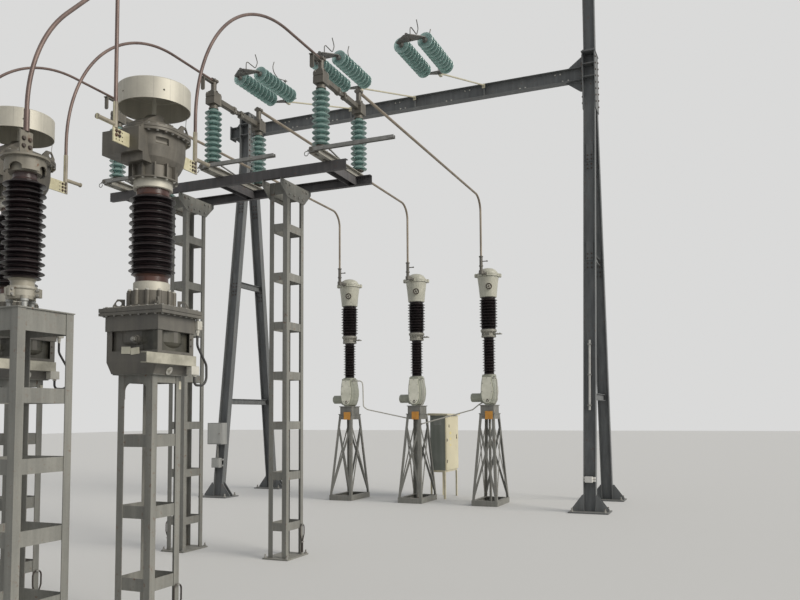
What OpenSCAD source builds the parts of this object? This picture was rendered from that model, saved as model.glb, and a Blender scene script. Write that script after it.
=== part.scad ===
// Substation switchgear bay, 63 kV class, three phases side by side.
// Phases stand along X, the line runs along Y, Z is up and the ground is at zero.
// The origin lies on the ground under the middle of the disconnector platform.

/* [Bay layout] */
// Distance between neighbouring phases
phase_gap = 1500; // [1450:10:1700]
// Distance of the surge arresters before the disconnector
arrester_dist = 4560; // [4450:10:4800]
// Distance of the current transformers before the disconnector
transformer_dist = 3320; // [3250:10:3400]
// Distance of the circuit breakers behind the disconnector
breaker_dist = 6250; // [6200:10:6500]
// Distance of the line gantry behind the disconnector
gantry_dist = 6650; // [6600:10:7000]

/* [Ladder steelwork] */
// Width of the angle legs
angle_w = 60; // [50:1:70]
// Wall of the angle legs
angle_t = 6; // [5:1:8]
// Thickness of the batten plates
batten_t = 6; // [5:1:10]
// Height of the batten plates
batten_h = 96; // [80:1:120]
// Thickness of the base plates
base_t = 15; // [12:1:25]
// Width of a base plate beyond its legs
base_lip = 50; // [44:1:60]
// Diameter of the anchor holes
anchor_d = 22; // [18:1:26]

/* [Surge arresters] */
// Side of the arrester pedestal
arrester_ped_w = 446; // [420:2:480]
// Height of the arrester pedestal
arrester_ped_h = 2387; // [2340:1:2420]
// Distance between the battens of the arrester pedestal
arrester_pitch = 443; // [420:1:460]
// Height of the insulating feet
arrester_foot_h = 77; // [66:1:90]
// Length of the arrester porcelain
arrester_porcelain_h = 752; // [740:1:800]
// Radius of the arrester sheds
arrester_shed_r = 134; // [120:1:140]
// Outer radius of the split clamp ring
arrester_clamp_r = 118; // [112:1:126]
// Outer radius of the bell at the top
bell_r = 128; // [122:1:134]

/* [Current transformers] */
// Width of the transformer pedestal across the line
transformer_ped_w = 334; // [320:2:350]
// Width of the transformer pedestal along the line
transformer_ped_d = 342; // [320:2:350]
// Height of the transformer pedestal
transformer_ped_h = 2030; // [2000:5:2060]
// Distance between the battens of the transformer pedestal
transformer_pitch = 548; // [530:1:560]
// Width of the transformer tank across the line
tank_w = 520; // [510:2:540]
// Width of the transformer tank along the line
tank_d = 448; // [440:2:470]
// Length of the transformer porcelain
transformer_porcelain_h = 750; // [720:2:760]
// Radius of the transformer sheds
transformer_shed_r = 181; // [170:1:190]
// Radius of the expansion cover
drum_r = 287; // [280:1:310]
// Height of the expansion cover
drum_h = 176; // [168:1:200]

/* [Disconnector] */
// Distance between the two columns of a pole
column_gap = 1000; // [980:10:1040]
// Length of the glass columns
glass_h = 668; // [640:2:680]
// Radius of the glass sheds
glass_shed_r = 104; // [95:1:110]
// Width of a contact arm
arm_w = 60; // [54:1:66]
// Height of a contact arm
arm_h = 80; // [76:1:90]
// Length of the earthing blade from its shaft to the contact tips
blade_len = 1010; // [1000:1:1015]
// Radius of the levers that turn the columns
lever_r = 110; // [106:1:116]

/* [Platform] */
// Width of a platform post across the line
post_w = 246; // [230:2:260]
// Width of a platform post along the line
post_d = 396; // [380:2:410]
// Height of the platform posts
post_h = 4550; // [4500:5:4600]
// Distance between the battens of the platform posts
post_pitch = 602; // [590:1:610]
// Length of the platform beams
beam_len = 3500; // [3460:10:3600]
// Distance between the centre lines of the platform beams
beam_gap = 660; // [640:2:680]
// Height of the platform beams
beam_h = 115; // [100:1:130]
// Width of the platform beams
beam_w = 55; // [50:1:65]

/* [Circuit breakers] */
// Width of the breaker pedestal across the line at the ground
breaker_foot_w = 500; // [460:2:520]
// Width of the breaker pedestal along the line at the ground
breaker_foot_d = 860; // [820:2:880]
// Width of the breaker pedestal across the line at the top
breaker_top_w = 284; // [270:2:300]
// Width of the breaker pedestal along the line at the top
breaker_top_d = 400; // [380:2:420]
// Height of the breaker pedestal
breaker_ped_h = 1730; // [1700:5:1760]
// Length of the lower breaker porcelain
lower_porcelain_h = 720; // [700:2:740]
// Length of the upper breaker porcelain
upper_porcelain_h = 625; // [610:2:640]
// Radius of the breaker head at its flange
head_r = 225; // [218:1:232]
// Distance of the breaker terminal from the breaker axis
terminal_reach = 450; // [420:2:480]

/* [Control cabinet] */
// Width of the cabinet along the line
cabinet_w = 760; // [720:2:800]
// Depth of the cabinet across the line
cabinet_d = 320; // [300:2:340]
// Height of the cabinet body
cabinet_h = 1110; // [1060:2:1150]
// Height of the cabinet legs
cabinet_leg_h = 580; // [540:2:620]

/* [Line gantry] */
// Position of the left support across the line
gantry_left_x = -4280; // [-4400:10:-4100]
// Position of the right support across the line
gantry_right_x = 3470; // [3300:10:3700]
// Height of the centre line of the gantry beam
gantry_z = 8250; // [8150:10:8350]
// Distance from the apex line to each foot of a support
gantry_spread = 1075; // [1040:5:1110]
// Height of the gantry beam
gantry_beam_h = 250; // [240:2:290]
// Width of the gantry columns across the line
column_w = 215; // [200:5:240]
// Width of the gantry columns along the line
column_d = 135; // [120:5:160]
// Length of the lightning peak above its joint
peak_h = 1700; // [1400:10:1900]
// Shift of the tension strings from the phase lines
string_shift = -130; // [-160:5:-60]

/* [Hidden] */
$fn = 40;

phases = [1, 0, -1];
seat_gap = 0.3;
tube_r = 15;
sleeve_r = 19;
breaker_tube_r = 20;
pedestal_plate_t = 8;
pad_hole_d = 14;

// Heights of the surge arrester, from the pedestal up
arrester_clamp_z = arrester_ped_h + arrester_foot_h;
arrester_clamp_h = 84;
arrester_porcelain_z = arrester_clamp_z + arrester_clamp_h;
arrester_cap_z = arrester_porcelain_z + arrester_porcelain_h;
bell_h = 92;
bell_dome_h = 42;
arrester_flag_h = 156;
arrester_flag_z = arrester_cap_z + bell_h + bell_dome_h;
arrester_sleeve_h = 149;
arrester_bend_r = 1200;
arrester_turn = 43;

// Heights of the current transformer, from the pedestal up
skirt_h = 92;
band_h = 85;
bowl_h = 157;
collar_h = 124;
lid_flange_t = 22;
gasket_t = 5;
cover_t = 31;
cover_rise = 12;
band_z = transformer_ped_h + skirt_h;
bowl_z = band_z + band_h;
collar_z = bowl_z + bowl_h;
lid_z = collar_z + collar_h;
cover_z = lid_z + lid_flange_t + gasket_t;
casting_z = cover_z + cover_t + cover_rise;
casting_h = 128;
lower_ring_z = casting_z + casting_h;
lower_ring_h = 78;
porcelain_z = lower_ring_z + lower_ring_h;
upper_ring_z = porcelain_z + transformer_porcelain_h;
upper_ring_h = 70;
neck_z = upper_ring_z + upper_ring_h;
neck_h = 110;
rim_z = neck_z + 366;
rim_t = 20;
rim_gap = 4;
head_cover_z = rim_z + 2 * rim_t + rim_gap;
dome_top_z = neck_z + 549;
drum_gap = 48;
line_pad_z = neck_z + 256;
bay_pad_z = neck_z + 281;
pad_t = 12;
pad_h = 108;
riser_reach = 432;
lead_reach = 530;
line_sleeve_h = 200;
bay_sleeve_h = 262;
line_face = 284;
bay_face = 304;
stub_l = 170;
stub_r = 17;

// Joint of the arrester lead with the riser of the transformer
arrester_run = arrester_dist - transformer_dist - riser_reach;
arrester_slope_l = (arrester_run - arrester_bend_r * (1 - cos(arrester_turn))) / sin(arrester_turn);
arrester_bend_z = arrester_flag_z + arrester_flag_h + arrester_sleeve_h;
joint_z = arrester_bend_z + arrester_bend_r * sin(arrester_turn) + arrester_slope_l * cos(arrester_turn);
joint_r = 34;
joint_h = 70;

// Heights of the disconnector, from the platform up
beam_z = post_h;
base_z = beam_z + beam_h;
pole_base_h = 78;
pole_base_w = 120;
bearing_h = 14;
bearing_z = base_z + pole_base_h;
rod_gap = 6;
rod_t = 12;
rod_z = bearing_z + bearing_h + rod_gap;
lever_gap = 5;
lever_t = 8;
lever_z = rod_z + rod_t + lever_gap;
lever_angle = 45;
pin_r = 8;
hub_h = 20;
glass_z = lever_z + hub_h;
glass_count = 10;
cap_z = glass_z + glass_h;
cap_h = 55;
arm_z = cap_z + cap_h;
arm_lift = 45;
head_box_h = 165;
terminal_z = arm_z + head_box_h + seat_gap;
terminal_stem_h = 108;
clamp_block_h = 62;
lead_z = terminal_z + terminal_stem_h + clamp_block_h / 2;
contact_gap = 5;
contact_reach = 50;
tongue_t = 12;
tongue_l = 90;
blade_y = -column_gap / 2 - 215;
blade_z = base_z + 25;
blade_h = 40;
blade_t = 8;
blade_slot = 44;
base_end_gap = 55;
spigot_r = 14;
blade_hub_r = 24;

// Heights of the breaker, from the pedestal up
breaker_plate_t = 16;
breaker_box_h = 160;
mechanism_z = breaker_ped_h + breaker_box_h;
mechanism_h = 560;
lower_porcelain_z = mechanism_z + mechanism_h + 22;
mid_flange_z = lower_porcelain_z + lower_porcelain_h;
mid_flange_h = 150;
upper_porcelain_z = mid_flange_z + mid_flange_h;
head_z = upper_porcelain_z + upper_porcelain_h;
head_h = 400;
head_flange_t = 58;
breaker_dome_h = 116;
socket_h = 340;
socket_drop = 10;
breaker_bend_r = 290;

// Gantry
gantry_beam_w = 180;
gantry_beam_t = 10;
column_t = 12;
joint_plate_t = 16;
haunch_h = 220;
haunch_t = 10;
apex_z = gantry_z + gantry_beam_h / 2 + 250;
apex_half = 10;
foot_t = 20;
foot_w = 480;
foot_hole_d = 36;
disc_pitch = 110;
disc_count = 10;
disc_r = 127;

function phase_x(i) = i * phase_gap;

module at_phases() {
  for (i = phases) translate([phase_x(i), 0, 0]) children();
}

// The piece on each phase line, at y along it and height z
module at_line(y, z) {
  at_phases() translate([0, y, z]) children();
}

// The piece in all four corners
module at_corners() {
  for (sx = [0, 1]) for (sy = [0, 1]) mirror([sx, 0, 0]) mirror([0, sy, 0]) children();
}

// L section standing on its end, heel at the origin
module angle_leg(w, t, h) {
  linear_extrude(h) polygon([[0, 0], [w, 0], [w, t], [t, t], [t, w], [0, w]]);
}

// Ring of batten plates against the inner faces of the legs
module batten_ring(w, d, z, h) {
  iw = w - 2 * angle_t;
  id = d - 2 * angle_t;
  translate([0, 0, z]) linear_extrude(h) difference() {
    square([iw, id], center = true);
    square([iw - 2 * batten_t, id - 2 * batten_t], center = true);
  }
}

// Base plate with one anchor hole outside each leg
module base_plate(w, d) {
  difference() {
    linear_extrude(base_t) square([w + 2 * base_lip, d + 2 * base_lip], center = true);
    for (sx = [-1, 1]) for (sy = [-1, 1])
      translate([sx * (w + base_lip) / 2, sy * (d + base_lip) / 2, -1])
        cylinder(d = anchor_d, h = base_t + 2);
  }
}

// Four angle legs held by rings of battens, on one base plate
module ladder(w, d, h, tops, top_band) {
  base_plate(w, d);
  at_corners()
      translate([-w / 2, -d / 2, base_t]) angle_leg(angle_w, angle_t, h - base_t);
  for (top = tops) batten_ring(w, d, top - batten_h, batten_h);
  batten_ring(w, d, h - top_band, top_band);
}

// One shed of a revolved insulator: thin drip lip, sloping underside and sloping top
function shed(core, tip, z, rise, lip, h) =
  [[core, z], [tip - 4, z + rise], [tip, z + rise + lip * 0.3], [tip - 2, z + rise + lip], [core, z + h]];

// Profile of an insulator whose big and small sheds alternate
function shed_profile(core, big, small, z0, count, pitch) = [
  for (i = [0 : count - 1]) each concat(
    shed(core, small, z0 + i * pitch, pitch * 0.08, pitch * 0.08, pitch * 0.4),
    shed(core, big, z0 + (i + 0.43) * pitch, pitch * 0.1, pitch * 0.1, pitch * 0.52))
];

// Revolved porcelain with a plain glazed collar at each end
module porcelain(h, core, big, small, count, collar_l, collar_r) {
  fillet = 14;
  pitch = (h - 2 * collar_l) / count;
  rotate_extrude() polygon(concat(
    [[0, 0], [collar_r, 0], [collar_r, collar_l - fillet], [core, collar_l]],
    shed_profile(core, big, small, collar_l, count, pitch),
    [[core, h - collar_l], [collar_r, h - collar_l + fillet], [collar_r, h], [0, h]]));
}

// Round plate with a lobe or flute for each of its bolts
module lobed_plate(r, lobe_r, lobe_pitch_r, count, h) {
  linear_extrude(h) union() {
    circle(r = r);
    for (k = [0 : count - 1]) rotate(k * 360 / count) translate([lobe_pitch_r, 0]) circle(r = lobe_r);
  }
}

// Bend of a tube in the YZ plane: starts upward at the origin and leans toward +Y
module bend(radius, r, turn) {
  translate([0, radius, 0]) rotate([0, 0, 90]) rotate([90, 0, 0])
    rotate([0, 0, 180 - turn]) rotate_extrude(angle = turn) translate([radius, 0]) circle(r = r);
}

// Block whose four sides lean
module tapered_block(w0, d0, w1, d1, h) {
  reach = w0 + d0 + w1 + d1;
  intersection() {
    rotate([90, 0, 0]) translate([0, 0, -reach]) linear_extrude(2 * reach)
      polygon([[-w0 / 2, 0], [w0 / 2, 0], [w1 / 2, h], [-w1 / 2, h]]);
    rotate([90, 0, 90]) translate([0, 0, -reach]) linear_extrude(2 * reach)
      polygon([[-d0 / 2, 0], [d0 / 2, 0], [d1 / 2, h], [-d1 / 2, h]]);
  }
}

// Block centred in X and Y that stands on the origin plane
module slab(w, d, h) {
  translate([-w / 2, -d / 2, 0]) cube([w, d, h]);
}

// Solid of revolution stretched along Y between two axes
module stretched(profile, y0, y1) {
  for (y = [y0, y1]) translate([0, y, 0]) rotate_extrude() polygon(profile);
  translate([0, y1, 0]) rotate([90, 0, 0]) linear_extrude(y1 - y0)
    for (s = [0, 1]) mirror([s, 0]) polygon(profile);
}

module arrester_pedestals() {
  top_gap = 504;
  top_band = 140;
  plate_lip = 6;
  tops = [for (k = [0 : 3]) arrester_ped_h - top_gap - k * arrester_pitch];
  color("slategray") at_line(-arrester_dist, 0) {
    ladder(arrester_ped_w, arrester_ped_w, arrester_ped_h - pedestal_plate_t, tops, top_band);
    translate([0, 0, arrester_ped_h - pedestal_plate_t])
      slab(arrester_ped_w + 2 * plate_lip, arrester_ped_w + 2 * plate_lip, pedestal_plate_t);
  }
}

foot_pitch_r = 78;

module arrester_feet() {
  cap_r = 24;
  cap_l = 14;
  body_r = 17;
  color("silver") at_line(-arrester_dist, arrester_ped_h)
    for (k = [0 : 2]) rotate(90 + k * 120) translate([foot_pitch_r, 0, 0]) rotate_extrude()
      polygon([[0, 0], [cap_r, 0], [cap_r, cap_l], [body_r, cap_l + 7], [body_r, arrester_foot_h - cap_l - 7],
          [cap_r, arrester_foot_h - cap_l], [cap_r, arrester_foot_h], [0, arrester_foot_h]]);
}

// Clamp ring with split, drilled ears and a lug over each foot
module arrester_clamps() {
  ring_r = 92;
  waist_r = 84;
  ear_t = 20;
  split = 8;
  ear_margin = 14;
  bolt_d = 12;
  bolt_r = arrester_clamp_r - 14;
  lug_r = 26;
  lug_h = 20;
  color("rosybrown") at_line(-arrester_dist, arrester_clamp_z) difference() {
    union() {
      rotate_extrude() polygon([[0, 0], [waist_r - 8, 0], [waist_r, 22], [waist_r, arrester_clamp_h - 26],
        [ring_r, arrester_clamp_h - 16], [ring_r, arrester_clamp_h], [0, arrester_clamp_h]]);
      for (k = [0 : 2]) rotate(30 + k * 120) translate([waist_r / 2, -ear_t - split / 2, ear_margin])
        cube([arrester_clamp_r - waist_r / 2, 2 * ear_t + split, arrester_clamp_h - 2 * ear_margin]);
      for (k = [0 : 2]) rotate(90 + k * 120) translate([foot_pitch_r, 0, 0]) cylinder(r = lug_r, h = lug_h);
    }
    for (k = [0 : 2]) rotate(30 + k * 120) {
      translate([waist_r - 6, -split / 2, -1]) cube([arrester_clamp_r, split, arrester_clamp_h + 2]);
      for (z = [arrester_clamp_h * 0.3, arrester_clamp_h * 0.7])
        translate([bolt_r, ear_t + split, z]) rotate([90, 0, 0]) cylinder(d = bolt_d, h = 2 * (ear_t + split));
    }
  }
}

module arrester_insulators() {
  core_r = 88;
  small_shed_r = 114;
  end_collar_l = 50;
  end_collar_r = 74;
  shed_count = 10;
  color("sienna") at_line(-arrester_dist, arrester_porcelain_z)
    porcelain(arrester_porcelain_h, core_r, arrester_shed_r, small_shed_r, shed_count, end_collar_l, end_collar_r);
}

// Bell with arched openings over a hub, wide rim, dome and drilled flag
module arrester_caps() {
  hub_r = 102;
  skirt_t = 9;
  rim_r = 150;
  rim_h = 13;
  skirt_h0 = bell_h - 16;
  arch_w = 84;
  arch_h = 26;
  flag_w = 100;
  flag_t = 12;
  flag_step = 50;
  color("gray") at_line(-arrester_dist, arrester_cap_z) {
    difference() {
      rotate_extrude() polygon([[0, 0], [hub_r, 0], [hub_r, skirt_h0], [bell_r - skirt_t, skirt_h0],
        [bell_r - skirt_t, 4], [bell_r, 4], [bell_r, bell_h], [rim_r, bell_h], [rim_r, bell_h + rim_h],
        [96, bell_h + rim_h], [90, bell_h + 26], [62, bell_h + bell_dome_h], [0, bell_h + bell_dome_h]]);
      for (k = [0 : 3]) rotate(k * 90 + 20) translate([hub_r + 2, 0, 0]) rotate([90, 0, 90]) linear_extrude(60) {
        translate([-arch_w / 2, -1]) square([arch_w, arch_h + 1]);
        intersection() {
          translate([0, arch_h - 30]) circle(r = sqrt(arch_w * arch_w / 4 + 900));
          translate([-arch_w / 2, arch_h]) square([arch_w, arch_w]);
        }
      }
    }
    translate([-flag_t / 2, 0, bell_h + bell_dome_h]) rotate([90, 0, 90]) linear_extrude(flag_t) difference() {
      translate([-flag_w / 2, -6]) square([flag_w, arrester_flag_h + 6]);
      for (sy = [-1, 1]) for (sz = [-1, 1])
        translate([sy * flag_step / 2, arrester_flag_h / 2 + sz * flag_step / 2]) circle(d = pad_hole_d);
    }
  }
}

// Tube from the flag of the arrester up to a collar around the riser of the transformer
module arrester_leads() {
  slope_sleeve_l = 170;
  slope_sleeve_r = 21;
  end_y = arrester_bend_r * (1 - cos(arrester_turn));
  end_z = arrester_bend_z + arrester_bend_r * sin(arrester_turn);
  color("peru") at_line(-arrester_dist, 0) difference() {
    union() {
      translate([0, 0, arrester_flag_z + arrester_flag_h]) cylinder(r = sleeve_r, h = arrester_sleeve_h);
      translate([0, 0, arrester_bend_z]) bend(arrester_bend_r, tube_r, arrester_turn);
      translate([0, end_y, end_z]) rotate([-arrester_turn, 0, 0]) {
        cylinder(r = tube_r, h = arrester_slope_l);
        translate([0, 0, arrester_slope_l - joint_r - slope_sleeve_l])
          cylinder(r = slope_sleeve_r, h = slope_sleeve_l + joint_r / 2);
      }
      translate([0, arrester_run, joint_z - joint_h / 2]) cylinder(r = joint_r, h = joint_h);
    }
    translate([0, arrester_run, joint_z - 2 * joint_h]) cylinder(r = tube_r + seat_gap, h = 4 * joint_h);
  }
}

module transformer_pedestals() {
  top_batten = 1560;
  top_band = 60;
  plate_w = 400;
  arch_r = 70;
  arch_plate_h = 130;
  inner_w = transformer_ped_w - 2 * angle_t;
  arch_w = inner_w - 2 * angle_w + 2 * angle_t;
  tops = [for (k = [0 : 2]) top_batten - k * transformer_pitch];
  color("slategray") at_line(-transformer_dist, 0) {
    ladder(transformer_ped_w, transformer_ped_d, transformer_ped_h - pedestal_plate_t, tops, top_band);
    translate([0, 0, transformer_ped_h - pedestal_plate_t]) slab(plate_w, plate_w, pedestal_plate_t);
    // Plate with an arched opening, inside the legs on the side of the arrester
    translate([0, -transformer_ped_d / 2 + angle_t + batten_t, transformer_ped_h - pedestal_plate_t - top_band - arch_plate_h])
      rotate([90, 0, 0]) linear_extrude(batten_t) difference() {
        translate([-inner_w / 2, 0]) square([inner_w, arch_plate_h + 20]);
        translate([-arch_w / 2, -1]) square([arch_w, arch_plate_h - arch_r + 1]);
        for (s = [-1, 1]) translate([s * (arch_w / 2 - arch_r), arch_plate_h - arch_r]) circle(r = arch_r);
        translate([-arch_w / 2 + arch_r, 0]) square([arch_w - 2 * arch_r, arch_plate_h]);
      }
  }
}

// Lifting fin with its eye, standing on the cover and pointing away from the casting
module lifting_fin() {
  fin_t = 14;
  fin_l = 292;
  fin_h = 72;
  eye_d = 40;
  fin_root = 200;
  rotate([90, 0, 0]) translate([0, 0, -fin_t / 2]) linear_extrude(fin_t) difference() {
    polygon([[fin_root, 0], [fin_l, 0], [fin_l, 18], [fin_l - 34, fin_h], [fin_root, fin_h]]);
    translate([fin_l - 46, fin_h / 2 + 2]) circle(d = eye_d);
  }
}

// Bowl in a frame of corner posts between the base band and the collar, under a bolted cover
module transformer_tanks() {
  skirt_w = 412;
  skirt_d = 416;
  band_w = 500;
  band_d = 430;
  post_leg = 50;
  post_wall = 6;
  lid_lip_w = 52;
  lid_lip_d = 21;
  lid_w = tank_w + 2 * lid_lip_w;
  lid_d = tank_d + 2 * lid_lip_d;
  bowl_r = 200;
  bowl_half = 48;
  bowl_foot_r = 112;
  shelf_l = 580;
  shelf_h = 80;
  shelf_w = 56;
  shelf_wall = 6;
  shelf_y = -110;
  shelf_drop = 24;
  box_y = 170;
  plug_r = 34;
  plug_x = 44;
  color("dimgray") at_line(-transformer_dist, 0) {
    translate([0, 0, transformer_ped_h]) tapered_block(skirt_w, skirt_d, band_w, band_d, skirt_h);
    translate([0, 0, band_z]) slab(band_w, band_d, band_h);
    translate([0, 0, bowl_z - 1]) rotate(90) stretched([[0, 0], [bowl_foot_r, 0], [bowl_foot_r + 40, 12],
      [bowl_r - 14, 46], [bowl_r, 70], [bowl_r, bowl_h + 2], [0, bowl_h + 2]], -bowl_half, bowl_half);
    // Closed walls on the far side and on the left side of the frame
    translate([-band_w / 2, -band_d / 2, bowl_z - 1]) cube([post_wall, band_d, bowl_h + 2]);
    translate([-band_w / 2, band_d / 2 - post_wall, bowl_z - 1]) cube([band_w, post_wall, bowl_h + 2]);
    at_corners()
      translate([-band_w / 2, -band_d / 2, bowl_z - 1]) angle_leg(post_leg, post_wall, bowl_h + 2);
    translate([0, 0, collar_z]) slab(tank_w, tank_d, collar_h);
    translate([0, 0, lid_z]) slab(lid_w, lid_d, lid_flange_t);
    translate([0, 0, lid_z]) slab(lid_w - 12, lid_d - 12, lid_flange_t + gasket_t + 1);
    translate([0, 0, cover_z]) slab(lid_w, lid_d, cover_t);
    translate([0, 0, cover_z + cover_t]) tapered_block(lid_w - 30, lid_d - 30, lid_w - 80, lid_d - 60, cover_rise);
    for (a = [38, 142, 218, 322]) rotate(a) translate([0, 0, cover_z + cover_t + cover_rise - 4]) lifting_fin();
    // Oil plug on the front and cable shelf with its terminal box on the side
    translate([plug_x, -bowl_r + 10, bowl_z + 86]) rotate([90, 0, 0]) cylinder(r = plug_r, h = 40);
    translate([plug_x, -bowl_r - 20, bowl_z + 86]) rotate([90, 0, 0]) cylinder(r = plug_r - 12, h = 26);
    translate([band_w / 2, shelf_y + shelf_l / 2, band_z - shelf_drop]) rotate([90, 0, 0]) linear_extrude(shelf_l) difference() {
      translate([-1, 0]) square([shelf_w + 1, shelf_h]);
      translate([-2, shelf_wall]) square([shelf_w + 2 - shelf_wall, shelf_h - 2 * shelf_wall]);
    }
    translate([band_w / 2 + shelf_w - 50, box_y - 45, band_z - shelf_drop - 66]) cube([50, 90, 67]);
  }
}

// Fluted casting with a lobe for each bolt under the silver ring
module transformer_bases() {
  flute_count = 12;
  foot_flange_r = 196;
  foot_flange_t = 14;
  color("gray") at_line(-transformer_dist, casting_z) {
    cylinder(r = foot_flange_r, h = foot_flange_t);
    lobed_plate(174, 20, 174, flute_count, casting_h);
  }
}

module transformer_insulators() {
  core_r = 144;
  small_shed_r = 160;
  end_collar_l = 56;
  end_collar_r = 128;
  shed_count = 10;
  color("saddlebrown") at_line(-transformer_dist, porcelain_z)
    porcelain(transformer_porcelain_h, core_r, transformer_shed_r, small_shed_r, shed_count, end_collar_l, end_collar_r);
}

module transformer_rings() {
  lower_r = 142;
  upper_r = 153;
  bevel = 6;
  color("gainsboro") at_line(-transformer_dist, 0) {
    translate([0, 0, lower_ring_z]) rotate_extrude() polygon([[0, 0], [lower_r, 0], [lower_r, lower_ring_h - bevel],
      [lower_r - bevel, lower_ring_h], [0, lower_ring_h]]);
    translate([0, 0, upper_ring_z]) rotate_extrude() polygon([[0, 0], [upper_r - bevel, 0], [upper_r, bevel],
      [upper_r, upper_ring_h], [0, upper_ring_h]]);
  }
}

// Cast head: bucket stretched toward the bay, bolted rims, humped cover and a wide box under the line terminal
module transformer_heads() {
  neck_r = 160;
  rib_r = 192;
  rib_t = 12;
  rib_count = 12;
  neck_flange_r = 196;
  neck_flange_t = 10;
  bucket_r0 = 150;
  bucket_r1 = 188;
  bucket_y0 = -20;
  bucket_y1 = 100;
  rim_r = 230;
  hump_r = 90;
  hood_end = -252;
  box_x0 = -270;
  box_x1 = 95;
  box_bottom = 176;
  step_bottom = 112;
  step_x0 = -120;
  step_y = -236;
  grip_r = 30;
  grip_l = 110;
  grip_turn = -24;
  lug_t = 14;
  rim_local = rim_z - neck_z;
  cover_local = head_cover_z - neck_z;
  top_local = dome_top_z - neck_z;
  color("darkgray") at_line(-transformer_dist, neck_z) {
    cylinder(r = neck_flange_r, h = neck_flange_t);
    cylinder(r = neck_r, h = neck_h);
    for (k = [0 : rib_count - 1]) rotate(k * 360 / rib_count + 15)
      translate([neck_r - 20, -rib_t / 2, 0]) cube([rib_r - neck_r + 20, rib_t, neck_h + 12]);
    difference() {
      stretched([[0, neck_h - 10], [bucket_r0 - 14, neck_h - 10], [bucket_r0, neck_h + 10], [bucket_r0 + 24, neck_h + 60],
        [bucket_r1, neck_h + 150], [bucket_r1, rim_local + 1], [0, rim_local + 1]], bucket_y0, bucket_y1);
      translate([0, bucket_y0, 0]) rotate(grip_turn) translate([bucket_r1 + 4, -grip_l / 2, rim_local - 74])
        rotate([-90, 0, 0]) cylinder(r = grip_r, h = grip_l);
    }
    translate([0, 0, rim_local]) {
      stretched([[0, 0], [rim_r, 0], [rim_r, rim_t], [0, rim_t]], bucket_y0, bucket_y1);
      stretched([[0, 0], [rim_r - 14, 0], [rim_r - 14, 2 * rim_t], [0, 2 * rim_t]], bucket_y0, bucket_y1);
      translate([0, 0, rim_t + rim_gap])
        stretched([[0, 0], [rim_r, 0], [rim_r, rim_t], [0, rim_t]], bucket_y0, bucket_y1);
    }
    stretched([[0, cover_local - 1], [bucket_r1 + 12, cover_local - 1], [bucket_r1 - 2, cover_local + 30],
      [bucket_r1 - 48, cover_local + 52], [90, cover_local + 62], [0, cover_local + 64]], bucket_y0, bucket_y1);
    rotate_extrude() polygon([[0, cover_local], [hump_r + 26, cover_local], [hump_r + 10, cover_local + 70],
      [hump_r - 4, top_local - 34], [hump_r - 22, top_local - 8], [hump_r - 44, top_local], [0, top_local]]);
    // Hood that falls from the hump over the box, and the box with its step down to the neck
    translate([-hump_r, 0, 0]) rotate([90, 0, 90]) linear_extrude(hump_r + box_x1) polygon([
      [hood_end - 8, rim_local - 8], [hood_end - 8, rim_local + 12], [hood_end + 80, cover_local + 50],
      [-70, top_local - 26], [0, top_local - 16], [0, rim_local - 8]]);
    translate([box_x0, -line_face, box_bottom]) cube([box_x1 - box_x0, line_face, rim_local - box_bottom]);
    translate([step_x0, step_y, step_bottom]) cube([box_x1 - step_x0, -step_y, box_bottom - step_bottom + 1]);
    // Two lifting lugs behind the hump
    for (s = [-1, 1]) translate([s * 120 - lug_t / 2, 150, cover_local - 1]) rotate([90, 0, 90]) linear_extrude(lug_t) difference() {
      polygon([[0, 0], [130, 0], [130, 56], [96, 112], [40, 112], [0, 70]]);
      translate([84, 76]) circle(d = 38);
    }
    // Boss that carries the terminal on the side of the bay
    translate([-26, bucket_y1 + bucket_r1 - 30, bay_pad_z - neck_z - 62]) cube([52, bay_face - bucket_y1 - bucket_r1 + 30, 124]);
  }
}

// Deep can with its open side down, held by a post on the hump of the head
module expansion_covers() {
  post_r = 16;
  edge = 8;
  wall = 5;
  hole_d = 16;
  color("gainsboro") at_line(-transformer_dist, dome_top_z) {
    cylinder(r = post_r, h = drum_gap + drum_h - 2);
    translate([0, 0, drum_gap]) difference() {
      rotate_extrude() polygon([[0, drum_h - wall], [drum_r - wall - edge, drum_h - wall], [drum_r - wall, drum_h - wall - edge],
        [drum_r - wall, 0], [drum_r, 0], [drum_r, drum_h - edge], [drum_r - edge, drum_h], [0, drum_h + 6]]);
      for (a = [-105, -35]) rotate(a) translate([drum_r - 12, 0, drum_h * 0.42]) rotate([0, 90, 0]) cylinder(d = hole_d, h = 30);
    }
  }
}

// Drilled terminal plate, sleeve for the upright tube and short stub tube; side is -1 or 1 along Y
module transformer_terminal(side, reach, inner, pad_z, sleeve_h) {
  outer = reach + 24;
  hole_margin = 30;
  hole_step = (pad_h - 2 * hole_margin + 16) / 2;
  stub_rise = 26;
  cap_l = 12;
  translate([-pad_t / 2, side < 0 ? -outer : inner, pad_z - pad_h / 2]) difference() {
    cube([pad_t, outer - inner, pad_h]);
    for (a = [0 : 2]) for (b = [0 : 2])
      translate([-1, side < 0 ? hole_margin + a * hole_step : outer - inner - hole_margin - a * hole_step,
           pad_h / 2 + (b - 1) * hole_step])
        rotate([0, 90, 0]) cylinder(d = pad_hole_d, h = pad_t + 2);
  }
  translate([0, side * reach, pad_z + pad_h / 2 - 2]) cylinder(r = sleeve_r, h = sleeve_h + 2);
  translate([0, side * reach, pad_z + pad_h / 2 + stub_rise]) rotate([-90 * side, 0, 0]) {
    cylinder(r = stub_r, h = stub_l + sleeve_r);
    translate([0, 0, stub_l + sleeve_r - cap_l]) cylinder(r = stub_r + 4, h = cap_l);
  }
}

module transformer_terminals() {
  color("beige") at_line(-transformer_dist, 0) {
    transformer_terminal(-1, riser_reach, line_face + seat_gap, line_pad_z, line_sleeve_h);
    transformer_terminal(1, lead_reach, bay_face + seat_gap, bay_pad_z, bay_sleeve_h);
  }
}

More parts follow.
